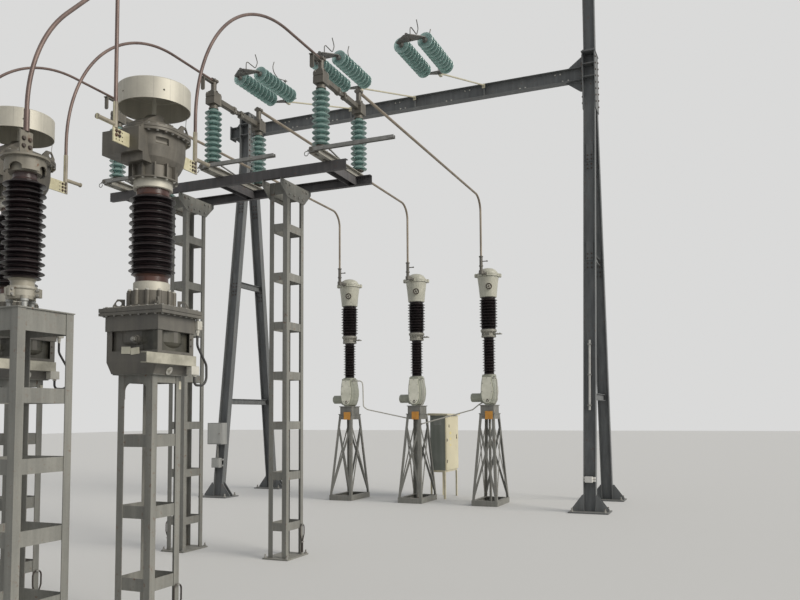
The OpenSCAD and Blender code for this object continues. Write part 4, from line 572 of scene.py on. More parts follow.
# %% Helpers for bent rods
def rounded(points, radius, steps=6):
    corners = [Vector(p) for p in points]
    line = [corners[0]]
    for before, corner, after in zip(corners, corners[1:], corners[2:]):
        into, out_of = corner - before, after - corner
        half = into.angle(out_of) / 2
        if half < 0.01:
            line.append(corner)
            continue
        cut = min(radius * math.tan(half), into.length * 0.499, out_of.length * 0.499)
        into.normalize()
        out_of.normalize()
        start, end = corner - into * cut, corner + out_of * cut
        bow = cut / math.tan(half)
        centre = corner + (out_of - into).normalized() * (cut / math.sin(half))
        line += [centre + (start.lerp(end, step / steps) - centre).normalized() * bow
                 for step in range(steps + 1)]
    return line + [corners[-1]]


def rod_piece(name, lines, radius, finish, body="bay", sides=3):
    curve = bpy.data.curves.new(name, "CURVE")
    curve.dimensions = "3D"
    curve.bevel_depth = radius
    curve.bevel_resolution = sides
    curve.use_fill_caps = True
    for line in lines:
        spline = curve.splines.new("POLY")
        spline.points.add(len(line) - 1)
        for point, place in zip(spline.points, line):
            point.co = (*place, 1)
    return dressed_piece(name, curve, finish, body)


def line_length(line):
    return sum((Vector(b) - Vector(a)).length for a, b in zip(line, line[1:]))


# %% [markdown]
# ## Surge arresters: anchors, clamp bolts and flag bolts
# The base plate stands on four anchor studs. The split ring under the
# porcelain is closed by two bolts through each pair of ears, and the flag on
# the cap is bolted four times to the tube's own flat end.

# %% Bolts of the surge arresters
ARRESTER_Y = -4.56
BASE_TOP = 0.015
ARRESTER_ANCHOR = 0.248
CLAMP_Z, CLAMP_H = 2.464, 0.084
EAR_FACE, EAR_BOLT_R, EAR_TURN = 0.024, 0.104, 30
FLAG_Z, FLAG_STEP, FLAG_HALF = 3.512, 0.025, 0.006

anchors, ears, flags = [], [], []
for x in PHASES:
    anchors += spread(x, ARRESTER_Y, BASE_TOP, UP, both(ARRESTER_ANCHOR), both(ARRESTER_ANCHOR))
    for third in range(3):
        turn = turned(EAR_TURN + 120 * third, "Z")
        for side in SIDES:
            spot = turn @ Vector((EAR_BOLT_R, side * EAR_FACE, 0))
            ears += spread(x + spot.x, ARRESTER_Y + spot.y, CLAMP_Z, turn @ Vector((0, side, 0)),
                           dz=(0.3 * CLAMP_H, 0.7 * CLAMP_H))
    for side in SIDES:
        flags += spread(x + side * FLAG_HALF, ARRESTER_Y, FLAG_Z, (side, 0, 0),
                        dy=both(FLAG_STEP), dz=both(FLAG_STEP))
bolt_set("arrester_clamp_bolts", ears, M12)
bolt_set("arrester_flag_bolts", flags, M16, "dark_bolt")

# %% [markdown]
# ## Current transformers: rims, lid and casting
# The lid of the tank is held by a row of bolts under its lip, the casting by
# one bright bolt on each lobe, and the head by two dozen along its two rims.
# Those rims are stretched circles, so a bolt on one half has its twin straight
# across the middle. Gaps are left where a box is in the way.

# %% Bolts around the transformer
TRANSFORMER_ANCHOR = (0.192, 0.196)
LID_UNDER, LID_OVER = 2.488, 2.549
LID_X, LID_Y = 0.286, 0.2345
LID_STEPS, LID_STEP_X, LID_STEP_Y = range(-3, 4), 0.08, 0.07
LID_BOLT = 0.0095
LOBES = 12
LOBE_Z, LOBE_R = 2.686, 0.174
NECK_Z, NECK_R = 3.584, 0.178
RIM_UNDER, RIM_OVER = NECK_Z + 0.366, NECK_Z + 0.41
RIM_R, RIM_Y0, RIM_Y1, RIM_COUNT = 0.215, -0.02, 0.1, 24


def stretched_ring(radius, y0, y1, count):
    arc, run = math.pi * radius, y1 - y0
    for step in range(count // 2):
        way = 2 * (arc + run) * step / count
        turn = min(way, arc) / radius
        x, y = radius * math.cos(turn), y1 + radius * math.sin(turn) - max(way - arc, 0)
        yield x, y
        yield -x, y0 + y1 - y


lid, lobes, necks, rims = [], [], [], []
for x in PHASES:
    anchors += spread(x, TRANSFORMER_Y, BASE_TOP, UP, *map(both, TRANSFORMER_ANCHOR))
    for z, out in ((LID_UNDER, DOWN), (LID_OVER, UP)):
        lid += spread(x, TRANSFORMER_Y, z, out, both(LID_X), [k * LID_STEP_Y for k in LID_STEPS])
        lid += spread(x, TRANSFORMER_Y, z, out, [k * LID_STEP_X for k in LID_STEPS], both(LID_Y))
    lobes += around(x, TRANSFORMER_Y, LOBE_Z, UP, LOBE_R, LOBES)
    necks += around(x, TRANSFORMER_Y, NECK_Z, DOWN, NECK_R, LOBES, 180 / LOBES)
    for dx, dy in stretched_ring(RIM_R, RIM_Y0, RIM_Y1, RIM_COUNT):
        if not (dy < 0.012 and -0.285 < dx < 0.11):
            rims.append(standing((x + dx, TRANSFORMER_Y + dy, RIM_UNDER), DOWN))
        if not (dy < 0.0 and abs(dx) < 0.115):
            rims.append(standing((x + dx, TRANSFORMER_Y + dy, RIM_OVER), UP))
bolt_set("transformer_lid_bolts", lid, LID_BOLT)
bolt_set("transformer_lobe_bolts", lobes, M16, "bright_bolt")
bolt_set("transformer_neck_bolts", necks, M12, "bright_bolt")
bolt_set("transformer_rim_bolts", rims, M12)

# %% [markdown]
# ## Terminal plates
# The drilled plates have more holes than bolts. Four bolts hold each plate on
# the line side and six each plate on the bay side, with dark, rusty heads on
# the face to the right and nuts on the other.

# %% Bolts of the drilled plates
LINE_PAD = (-3.746, 3.84)
BAY_PAD = (-2.796, 3.865)
HOLE_STEP = 0.032
PAD_HALF = 0.006
line_bolts, bay_bolts = [], []
for x in PHASES:
    for side in SIDES:
        face, out = x + side * PAD_HALF, (side, 0, 0)
        line_bolts += spread(face, *LINE_PAD, out, dy=(0, HOLE_STEP), dz=(0, HOLE_STEP))
        bay_bolts += spread(face, *BAY_PAD, out, dy=(0, -HOLE_STEP),
                            dz=(-HOLE_STEP, 0, HOLE_STEP))
bolt_set("line_pad_bolts", line_bolts, M12 * 1.15, "dark_bolt")
bolt_set("bay_pad_bolts", bay_bolts, M12, "dark_bolt")

# %% [markdown]
# ## Tank fittings
# On the front of the tank sit a hexagon plug and two bare cream plates. On the
# side are an earth disc, a narrow plate, and a light terminal box under the
# cable shelf. A second small box hangs on the back corner of the collar, and
# plain panels close the windows. Rows give a block by two corners and its edge,
# a disc by its place, the way it looks, radius, height, sides, top and start.

# %% Plates, plug, discs and boxes on the tanks
LEANING_PLATES = ((-0.056, 2.212, 0.044, 0.028, 2), (0.0335, 2.204, 0.0415, 0.026, -5))
PLATE_Y = -0.216
NARROW_PLATES = (((0.1668, 0.142, 1.915), (0.17, 0.168, 1.98), 0.001),
                 ((0.24, -0.08, 2.098), (0.2465, -0.02, 2.112), 0.001))
PANELS = [((-0.208, y - 0.002, 2.205), (0.208, y + 0.002, 2.366), 0) for y in both(0.183)]
PANELS += [((x - 0.002, -0.18, 2.205), (x + 0.002, 0.18, 2.366), 0) for x in both(0.213)]
DISC_SPOT, SLOPE = (0.2185, -0.045, 2.056), Vector((0.092, 0, -0.044)).normalized()
EARTH_DISC = ((DISC_SPOT, SLOPE, 0.034, 0.007, 24),
              (DISC_SPOT, SLOPE, 0.013, 0.016, 6, None, 0.006))
BOXES = (((0.2555, 0.121, 2.029), (0.3095, 0.219, 2.0975), 0.004),
         ((0.225, 0.2245, 2.4), (0.285, 0.284, 2.474), 0.005))
GLANDS = (((0.262, 0.249, 2.4), DOWN, 0.017, 0.022, 6),
          ((0.262, 0.249, 2.378), DOWN, 0.014, 0.024, 14, 0.0108),
          ((0.25, 0.284, 2.44), BACK, 0.016, 0.018, 6),
          ((0.25, 0.302, 2.44), BACK, 0.014, 0.026, 14, 0.004),
          ((0.262, 0.249, 2.474), UP, 0.014, 0.02, 14),
          ((0.281, 0.19, 2.029), DOWN, 0.016, 0.012, 6))
PLUG = (((0.044, -0.246, 2.293), FRONT, 0.019, 0.016, 6),
        ((0.044, -0.262, 2.293), FRONT, 0.01, 0.008, 10))
SCREWS = [((0.25, 0.18, z), RIGHT, 0.007, 0.006, 6) for z in (2.315, 2.262)]

tanks = [moved(x, TRANSFORMER_Y, 0) for x in PHASES]
plates = shaped(tanks, NARROW_PLATES)
for x, z, wide, high, lean in LEANING_PLATES:
    shaped([tank @ moved(x, PLATE_Y, z) @ turned(lean, "Y") for tank in tanks],
           [((-wide, -0.003, -high), (wide, 0.001, high), 0.001)], mesh=plates)
# The panels take the tank finish, so inside the windows they carry its painted shade.
finished("tank_panels", shaped(tanks, PANELS), "tank")
finished("tank_plates", plates, "plate")
finished("tank_discs", shaped(tanks, discs=EARTH_DISC), "bright_bolt")
finished("tank_boxes", shaped(tanks, BOXES, GLANDS), "pale_box")
finished("tank_plugs", shaped(tanks, discs=PLUG), "bolt")
finished("tank_screws", shaped(tanks, discs=SCREWS), "dark_bolt")
print("tanks fitted", len(tanks))

# %% [markdown]
# ## Transformer cables
# A stiff black cable leaves the small box through its gland, hangs in a loop
# beside the tank, and turns up into the terminal box. It is a real length of
# cable: its diameter sets the rod, and its length is printed.

# %% Cables beside the tanks
CABLE_D = 0.02
CABLE_BEND = 0.079
CABLE_ROUTE = ((0.262, 0.249, 2.374), (0.262, 0.249, 2.27), (0.281, 0.346, 2.12),
               (0.281, 0.35, 1.948), (0.281, 0.19, 1.948), (0.281, 0.19, 2.018))
for number, x in enumerate(PHASES, 1):
    line = rounded([(x + a, TRANSFORMER_Y + b, c) for a, b, c in CABLE_ROUTE], CABLE_BEND, 7)
    cable = rod_piece("transformer_cable_%d" % number, [line], CABLE_D / 2, "rubber")
    print(cable.name, round(line_length(line), 3), "m")

# %% [markdown]
# ## Expansion covers
# Two thin stay rods join the back rim of the open can to the lifting lugs of
# the head below it.

# %% Stay rods under the covers
STAY_FOOT, STAY_TOP, STAY_R = (0.12, 0.246, 4.095), (0.124, 0.252, 4.2), 0.003
stays = [[(x + side * a, TRANSFORMER_Y + b, c) for a, b, c in (STAY_FOOT, STAY_TOP)]
         for x in PHASES for side in SIDES]
rod_piece("cover_stays", stays, STAY_R, "zinc")
print("stays", len(stays))

# %% [markdown]
# ## Platform and disconnector
# The gusset plates are bolted through the beams and to the posts. Each pole
# base sits on four bolts, its bearings on four more, and the head box of each
# column is closed by four bolts that turn with it.

# %% Bolts of the platform
POST_X, POST_ANCHOR = 0.75, (0.148, 0.223)
GUSSET_FACE = 0.133
GUSSET_BOLTS = ((0.243, 4.512), (0.165, 4.51), (0.165, 4.4), (0.055, 4.4))
BASE_FLANGE_Z, BASE_BOLT_X, BEAM_Y = 4.672, 0.045, 0.33
SEAT_Z, SEAT_X, SEAT_Y = 4.743, 0.047, 0.062
ANCHOR_STUD = 0.028
gussets, bearings = [], []
for side in SIDES:
    anchors += spread(side * POST_X, 0, BASE_TOP, UP, *map(both, POST_ANCHOR))
    for face in SIDES:
        for y, z in GUSSET_BOLTS:
            gussets += spread(side * POST_X + face * GUSSET_FACE, 0, z, (face, 0, 0), dy=both(y))
for x in PHASES:
    bearings += spread(x, 0, BASE_FLANGE_Z, UP, both(BASE_BOLT_X), both(BEAM_Y))
    for y in both(COLUMN_Y):
        bearings += spread(x, y, SEAT_Z, UP, both(SEAT_X), both(SEAT_Y))
bolt_set("anchor_bolts", anchors, M20, stud=ANCHOR_STUD)
bolt_set("gusset_bolts", gussets, M16)
bolt_set("bearing_bolts", bearings, M12)

# %% Bolts that turn with the columns
BOSS_Z, BOSS_X, BOSS_Y = 5.668, 0.051, 0.059
ARM_Z, ARM_STEP, END_FACE, END_Y = 5.608, 0.022, 0.03, 0.42
EAR_Z, CLAMP_X, CLAMP_Y = 5.839, 0.0385, 0.025
clamps = []
for number, x in enumerate(PHASES, 1):
    for part, side in (("line", -1), ("breaker", 1)):
        y = side * COLUMN_Y
        body = "column_%d_%s" % (number, part)
        heads = spread(x, y, BOSS_Z, UP, both(BOSS_X), both(BOSS_Y))
        for face in SIDES:
            heads += spread(x + face * END_FACE, y - side * END_Y, ARM_Z, (face, 0, 0),
                            dz=both(ARM_STEP))
        bolt_set(body + "_bolts", heads, M12, body=body)
        clamps += spread(x, y, EAR_Z, UP, both(CLAMP_X), both(CLAMP_Y))
bolt_set("terminal_clamp_bolts", clamps, M8)

# %% [markdown]
# ## Earthing blades
# A small pigtail hook hangs at the root of each blade, and bolts hold its two
# bars on their spacers. They ride on the blade, since they swing with it.

# %% Hooks and bolts of the earthing blades
BLADE_Y, BLADE_Z, BLADE_L = -0.715, 4.69, 1.01
BLADE_BOLTS = (0.14, 0.42, 0.7)
BAR_FACE = 0.022
HOOK_X, HOOK_Z, HOOK_R, HOOK_WIRE = -0.07, -0.04, 0.026, 0.0045
HOOK_ROOT = (-0.044, -0.012)
for number, x in enumerate(PHASES, 1):
    body = "earth_blade_%d" % number
    hook = [(x + HOOK_ROOT[0], BLADE_Y, BLADE_Z + HOOK_ROOT[1])]
    for turn in [math.radians(100 - 30 * k) for k in range(11)]:
        hook.append((x + HOOK_X - HOOK_R * math.cos(turn), BLADE_Y,
                     BLADE_Z + HOOK_Z + HOOK_R * math.sin(turn)))
    rod_piece(body + "_hook", [rounded(hook, 0.01, 3)], HOOK_WIRE, "blade", body)
    spots = []
    for side in SIDES:
        spots += spread(x, BLADE_Y + side * BAR_FACE, BLADE_Z, (0, side, 0),
                        [share * BLADE_L for share in BLADE_BOLTS])
    bolt_set(body + "_bolts", spots, M8, "bolt", body)

# %% [markdown]
# ## Circuit breakers
# The breakers carry rows of bolts at both flanges and at the head, a wheel on
# the boss of the bell, a pull ring and screws on the cover of the housing, and
# a bare orange plate on the pedestal.

# %% Flange and head bolts of the breakers
BREAKER_Y = 6.25
HEAD_TOP, HEAD_UNDER, HEAD_R = 4.425, 4.367, 0.2145
HEAD_BOLTS, HEAD_TURN, HEAD_INSET, HEAD_GAP = 16, 11, 0.963, 0.17
MID_LOW, MID_HIGH, MID_BOLTS = (3.223, 0.13), (3.2965, 0.142), 8
TERMINAL_X, TERMINAL_TOP, TERMINAL_STEPS = 0.2, 3.262, (both(0.025), both(0.025))
EAR_R, EAR_START = 0.238, 20
LUG_Y, LUG_Z, LUG_BOLTS = -0.39, 4.416, (0.03, 0.022)


def on_breaker(x, z, out, radius, count, start=0.0):
    return around(x, BREAKER_Y, z, out, radius, count, start)


heads, mids, seats = [], [], []
for x in PHASES:
    on_top = on_breaker(x, HEAD_TOP, UP, HEAD_R * HEAD_INSET, HEAD_BOLTS, HEAD_TURN)
    heads += [place for place in on_top
              if place.translation.y > BREAKER_Y - HEAD_GAP * HEAD_INSET]
    heads += on_breaker(x, HEAD_UNDER, DOWN, HEAD_R, HEAD_BOLTS, HEAD_TURN)
    mids += on_breaker(x, MID_LOW[0], UP, MID_LOW[1], MID_BOLTS)
    mids += on_breaker(x, MID_HIGH[0], DOWN, MID_HIGH[1], MID_BOLTS)[1:]
    mids += spread(x + TERMINAL_X, BREAKER_Y, TERMINAL_TOP, UP, *TERMINAL_STEPS)
    seats += on_breaker(x, HEAD_TOP, UP, EAR_R, 2, EAR_START)
    seats += on_breaker(x, HEAD_UNDER, DOWN, EAR_R, 2, EAR_START)
    seats += spread(x, BREAKER_Y + LUG_Y, LUG_Z, UP, *map(both, LUG_BOLTS))
bolt_set("breaker_head_bolts", heads, M8 * 1.1)
bolt_set("breaker_flange_bolts", mids, M12)
bolt_set("breaker_ear_bolts", seats, M12 * 1.1)

# %% Wheels, rings and plates of the breakers
RING_STEPS, RING_SIDES = 20, 8
BOSS_REACH, BOSS_MIDDLE, BOSS_TURN = 0.206, 4.157, math.radians(20)
BOSS_OUT = Vector((math.sin(BOSS_TURN), -math.cos(BOSS_TURN), 0))
WHEEL_R, SPOKES = 0.056, 4
COVER_FACE, PLATE_FACE = 6.066, 6.03
COVER_SCREWS = ((0, 2.4), (-0.08, 2.3), (0.078, 2.3), (-0.094, 2.14), (0.1, 2.14),
                (-0.058, 1.99), (0.066, 1.99))
SCREWS = [((x, COVER_FACE, z), FRONT, 0.008, 0.006, 6) for x, z in COVER_SCREWS]
SCREWS += [((0.045, PLATE_FACE, z), FRONT, 0.005, 0.003, 8) for z in (1.625, 1.76)]
ORANGE = ((-0.03, PLATE_FACE, 1.615), (0.12, PLATE_FACE + 0.004, 1.77), 0.0015)


def ring(mesh, place, radius, wire):
    section = bmesh.ops.create_circle(mesh, segments=RING_SIDES, radius=wire,
                                      matrix=place @ moved(radius, 0, 0) @ turned(90, "X"))
    geometry = list({e for v in section["verts"] for e in v.link_edges}) + section["verts"]
    bmesh.ops.spin(mesh, geom=geometry, cent=place.translation,
                   axis=place.to_3x3() @ Vector(UP), angle=2 * math.pi,
                   steps=RING_STEPS, use_merge=True, use_duplicate=False)
    bmesh.ops.recalc_face_normals(mesh, faces=mesh.faces)


wheels, rings = bmesh.new(), bmesh.new()
for x in PHASES:
    hub = standing(Vector((x, BREAKER_Y, BOSS_MIDDLE)) + BOSS_OUT * BOSS_REACH, BOSS_OUT)
    ring(wheels, hub @ moved(0, 0, 0.008), WHEEL_R, 0.006)
    disc(wheels, hub, WHEEL_R, 0.004, 24)
    disc(wheels, hub, 0.012, 0.016, 12)
    for k in range(SPOKES):
        block(wheels, (0.004, -0.0045, 0.003), (0.055, 0.0045, 0.011), 0.001,
              hub @ Matrix.Rotation(2 * math.pi / SPOKES * k + 0.4, 4, "Z"))
    ring(rings, standing((x + 0.012, COVER_FACE - 0.004, 1.965), FRONT), 0.022, 0.0045)
    disc(rings, standing((x + 0.012, COVER_FACE, 1.99), FRONT), 0.011, 0.018, 10)
breakers = [moved(x, 0, 0) for x in PHASES]
finished("boss_wheels", wheels, "dark_bolt", smooth=True)
finished("pull_rings", rings, "dark_bolt", smooth=True)
finished("cover_screws", shaped(breakers, discs=SCREWS), "bolt")
finished("orange_plates", shaped(breakers, [ORANGE]), "orange")
print("breaker details made")

# %% [markdown]
# ## Control conduits
# Light conduits leave the top of each housing, run down its right side, and
# from the outer breakers they cross to the pedestal of the middle one. They are
# rigid tubes, so each is one bent rod with a gland at both ends.

# %% Conduits between the breakers
CONDUIT_Y, CONDUIT_R, CONDUIT_BEND = 6.15, 0.012, 0.07
CROSSING_LEFT = ((-1.415, 2.405), (-1.17, 2.405), (-1.15, 2.29), (-1.14, 1.88),
                 (-1.05, 1.818), (-0.144, 1.635))
CROSSING_RIGHT = ((1.425, 1.95), (1.318, 1.896), (1.19, 1.798))
LEG_END = (0.152, 6.055, 1.523)
HOUSING_DROP = ((0.085, 2.4), (0.172, 2.405), (0.182, 2.29), (0.182, 1.985), (0.115, 1.86))


def in_plane(points, x=0.0):
    return [(x + a, CONDUIT_Y, z) for a, z in points]


routes = [in_plane(CROSSING_LEFT), in_plane(CROSSING_RIGHT) + [LEG_END],
          in_plane(HOUSING_DROP), in_plane(HOUSING_DROP, PHASE)]
rod_piece("breaker_conduits", [rounded(route, CONDUIT_BEND) for route in routes], CONDUIT_R,
          "pale_box")
glands = bmesh.new()
for route in routes:
    for end, before in ((route[0], route[1]), (route[-1], route[-2])):
        out = (Vector(before) - Vector(end)).normalized()
        disc(glands, standing(Vector(end) - out * 0.004, out), 0.019, 0.024, 6)
        disc(glands, standing(Vector(end) + out * 0.019, out), 0.016, 0.014, 14, 0.013)
finished("conduit_glands", glands, "bolt")
print("conduits", len(routes))

# %% [markdown]
# ## Control cabinet
# The door has a lever handle in its recess, three covered hinges, and three
# bare plates. All of that rides on the door. Louvres are pressed into the side
# wall.

# %% Handle, hinges and plates of the cabinet
DOOR_X, WALL_Y = 0.4353, 6.7405
HANDLE = ((-0.004, 7.385, 1.205), (0.004, 7.401, 1.29), 0.002)
PIVOT = ((-0.004, 7.393, 1.215), RIGHT, 0.012, 0.014, 16)
HINGES = [((-0.001, y - 0.013, z - 0.03), (0.009, y + 0.013, z + 0.03), 0.003)
          for y, z in ((6.912, 1.473), (6.79, 1.191), (6.79, 0.76))]
PLATES = [((-0.001, 7.005 - wide, z - high), (0.0015, 7.005 + wide, z + high), 0.0005)
          for z, wide, high in ((1.327, 0.05, 0.026), (1.21, 0.052, 0.022),
                                (1.083, 0.042, 0.018))]
LOUVRES = [((0.165, WALL_Y - 0.0035, 1.5 + 0.022 * k), (0.335, WALL_Y, 1.508 + 0.022 * k),
            0.0015) for k in range(6)]
WALL_SCREWS = [((x, WALL_Y - 0.0005, z), FRONT, 0.007, 0.004, 6)
               for x in (0.115, 0.385) for z in (0.61, 1.66)]
on_door = [moved(DOOR_X, 0, 0)]
finished("door_handle", shaped(on_door, [HANDLE, *HINGES], [PIVOT]), "dark_bolt",
         "cabinet_door")
finished("door_plates", shaped(on_door, PLATES), "plate_yellow",
         "cabinet_door")
finished("cabinet_louvres", shaped([Matrix()], LOUVRES, WALL_SCREWS),
         "grey_paint")
print("cabinet details made")

# %% [markdown]
# ## Line gantry
# The legs are spliced and bolted, so their webs, joint plates, beam ends and
# feet all carry bolts. A leaning leg needs its own matrix: it starts from the
# middle of the leg at a height and leans by the same angle as the solid.

# %% Bolts of the gantry
GANTRY_Y, LEFT_X, RIGHT_X = 6.65, -4.28, 3.47
SPREAD, APEX_HALF, APEX_Z, SUNK = 1.075, 0.01, 8.625, 0.2
LEAN = math.atan((SPREAD - APEX_HALF) / (APEX_Z + SUNK))
SPLICES_Z, SPLICE_STEPS, WEB_FACE = (4.51, 6.43), (-0.13, -0.05, 0.05, 0.13), 0.018
JOINT_FACE, JOINT_Y, JOINT_Z, JOINT_STEP, JOINT_ROWS = 0.1225, 0.165, 7.62, 0.125, 8
BEAM_MIDDLE, BEAM_REACH, BEAM_BOLT_Y = 8.25, 0.1428, 0.075
BEAM_STEPS, STUB_STEPS, STUB_X = (0.05, 0.2, 0.3), (0.05, 0.12), -4.7175
FOOT_TOP, FOOT_BOLTS, FOOT_STUD = 0.02, (0.2825, 0.18), 0.04
WEB_BOLTS = ((8.325, 0.05, (-3.26, -2.7, -0.55, 1.0, 2.85)),
             (8.18, 0.055, (-3.06, -2.05, -0.43, 0.6, 2.15, 3.0)))


def leg_middle(z):
    return SPREAD - (z + SUNK) * math.tan(LEAN)


def on_leg(x, side, z):
    return moved(x, GANTRY_Y + side * leg_middle(z), z) @ Matrix.Rotation(side * LEAN, 4, "X")


def beam_end(x, out, steps):
    return spread(x, GANTRY_Y, BEAM_MIDDLE, out, dy=both(BEAM_BOLT_Y),
                  dz=[level for step in steps for level in both(step)])


splices, joints, feet, webs = [], [], [], []
for x in (LEFT_X, RIGHT_X):
    for side in SIDES:
        for face in SIDES:
            local = spread(0, face * WEB_FACE, 0, (0, face, 0), both(0.035), dz=SPLICE_STEPS)
            splices += [on_leg(x, side, z) @ place for z in SPLICES_Z for place in local]
        feet += spread(x, GANTRY_Y + side * leg_middle(0), FOOT_TOP, UP, *map(both, FOOT_BOLTS))
        joints += spread(x + side * JOINT_FACE, GANTRY_Y, JOINT_Z, (side, 0, 0),
                         dy=both(JOINT_Y), dz=[JOINT_STEP * k for k in range(JOINT_ROWS)])
joints += beam_end(LEFT_X + BEAM_REACH, RIGHT, BEAM_STEPS)
joints += beam_end(RIGHT_X - BEAM_REACH, LEFT, BEAM_STEPS)
joints += spread(RIGHT_X, GANTRY_Y, APEX_Z + 0.018, UP, both(0.095), both(0.17))
for face in SIDES:
    for z, half, middles in WEB_BOLTS:
        for x in middles:
            webs += spread(x, GANTRY_Y + face * 0.005, z, (0, face, 0), both(half))
bolt_set("splice_bolts", splices, M16, "dark_bolt")
bolt_set("joint_bolts", joints, M20, "dark_bolt")
bolt_set("stub_bolts", beam_end(STUB_X, LEFT, STUB_STEPS), M12)
bolt_set("beam_bolts", webs, M16, "bright_bolt")
bolt_set("foot_bolts", feet, M30, stud=FOOT_STUD)

# %% Lightning peak as a rolled profile
PEAK_X, PEAK_Y, PEAK_WALL = 0.1025, 0.0675, 0.006
PEAK_FOOT, PEAK_TOP = 8.625, 10.325
WEB_FOOT, WEB_TOP = PEAK_FOOT + 0.016, PEAK_TOP - 0.01
PEAK = [((-0.115, -0.2, PEAK_FOOT), (0.115, 0.2, PEAK_FOOT + 0.018), 0.002),
        ((-0.112, -0.072, PEAK_TOP - 0.012), (0.112, 0.072, PEAK_TOP), 0.002),
        ((-PEAK_X, -PEAK_WALL, WEB_FOOT), (PEAK_X, PEAK_WALL, WEB_TOP), 0)]
PEAK += [((x - PEAK_WALL, -PEAK_Y, WEB_FOOT), (x + PEAK_WALL, PEAK_Y, WEB_TOP), 0.002)
         for x in both(PEAK_X)]
peak = shaped([moved(RIGHT_X, GANTRY_Y, 0)], PEAK)
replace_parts(finished("lightning_peak", peak, "gantry"), "gantry_peak")
print("peak", round(PEAK_TOP - PEAK_FOOT, 3), "m high")

# %% Boxes and straps on the gantry legs
BOX_FRONT, SMALL_FRONT = 5.4352, 5.46
STRAPS_Z = (1.85, 2.4, 2.95)
DOORS = (((-0.16, BOX_FRONT - 0.008, 1.128), (0.16, BOX_FRONT + 0.001, 1.542), 0.004),
         ((-0.082, SMALL_FRONT, 0.63), (0.082, SMALL_FRONT + 0.007, 0.81), 0.004))
LATCH = ((0.125, BOX_FRONT - 0.026, 1.3), (0.135, BOX_FRONT - 0.018, 1.342), 0.002)
ROUNDS = [((-0.163, BOX_FRONT - 0.002, z), UP, 0.006, 0.05, 10) for z in (1.175, 1.445)]
ROUNDS += [((0.13, BOX_FRONT - 0.008, 1.335), FRONT, 0.014, 0.01, 16)]
ROUNDS += [((x, SMALL_FRONT, z), FRONT, 0.005, 0.004, 8) for x in both(0.07)
           for z in (0.645, 0.795)]
STRAP = [((-0.036, -0.0555, -0.012), (0.036, -0.0507, 0.012), 0.001)]
for x in both(0.0295):
    STRAP += [((x - 0.0065, -0.052, -0.012), (x + 0.0065, -0.033, 0.012), 0.001)]
for x in both(0.02925):
    STRAP += [((x - 0.00675, -0.034, -0.012), (x + 0.00675, -0.0055, 0.012), 0.002)]
CONDUIT_LINE = [(LEFT_X + 0.03, 5.522, z) for z in (0.818, 1.112)]

left = [moved(LEFT_X, 0, 0)]
latches = shaped(left, [LATCH], ROUNDS)
shaped([on_leg(RIGHT_X, -1, z) for z in STRAPS_Z], STRAP, mesh=latches)
finished("box_doors", shaped(left, DOORS), "grey_paint")
finished("box_latches", latches, "bolt")
rod_piece("box_conduit", [CONDUIT_LINE], 0.011, "bolt")
print("gantry boxes dressed")

# %% [markdown]
# ## Tension string fittings
# The solid yokes are plain plates with straight horns. The real ones have
# rounded edges, nuts at the sockets, and horns bent from thin rod: at the live
# end one that rises, runs over the discs and rises again, at the other end a
# post with a hook. The piece replaces the plain solid.

# %% Yokes, sockets and clamps of the strings
REAR_Y, STRING_SPAN = 3.91, 1.34
FRONT_Y = REAR_Y - STRING_SPAN
SOCKET_IN, NUT_IN, PIN_IN = 0.086, 0.07, 0.03
REAR_YOKE = ((-0.045, 0.03), (0.045, 0.03), (0.245, -0.05), (0.245, -0.09),
             (-0.245, -0.09), (-0.245, -0.05))
FRONT_YOKE = ((-0.055, 0.125), (0.055, 0.125), (0.245, -0.04), (0.245, -0.09),
              (-0.245, -0.09), (-0.245, -0.04))
YOKE_HALF = 0.008
CLEVISES = (((0, FRONT_Y + 0.004, STRING_Z), FRONT, 0.02, 0.154, 16),
            ((0, FRONT_Y - 0.06, STRING_Z), FRONT, 0.027, 0.07, 8),
            ((-0.03, REAR_Y - 0.04, 7.87), RIGHT, 0.011, 0.06, 8))
STRINGS = [phase + STRING_SHIFT for phase in PHASES]
yokes = bmesh.new()
for x in STRINGS:
    for y, way, outline in ((REAR_Y, 1, REAR_YOKE), (FRONT_Y, -1, FRONT_YOKE)):
        corners = [yokes.verts.new((x + a, y + way * b, STRING_Z - YOKE_HALF))
                   for a, b in outline]
        raised = bmesh.ops.extrude_face_region(yokes, geom=[yokes.faces.new(corners)])["geom"]
        lifted = [v for v in raised if isinstance(v, bmesh.types.BMVert)]
        bmesh.ops.translate(yokes, verts=lifted, vec=(0, 0, 2 * YOKE_HALF))
        rounded_edges(yokes, corners + lifted, 0.003)
        for place in spread(x, y - way * SOCKET_IN, STRING_Z, (0, -way, 0), both(STRING_X)):
            disc(yokes, place, 0.024, 0.034, 14, 0.03)
        for up in SIDES:
            face, out = STRING_Z + up * YOKE_HALF, (0, 0, up)
            for place in spread(x, y - way * NUT_IN, face, out, both(STRING_X)):
                bolt(yokes, place, 0.014, 0.01)
            bolt(yokes, standing((x, y - way * PIN_IN, face), out), 0.016, 0.012)
shaped([moved(x, 0, 0) for x in STRINGS], discs=CLEVISES, mesh=yokes)
bmesh.ops.recalc_face_normals(yokes, faces=yokes.faces)
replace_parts(finished("string_yokes", yokes, "fitting"), "string_fittings")
print("yokes", 2 * len(STRINGS))

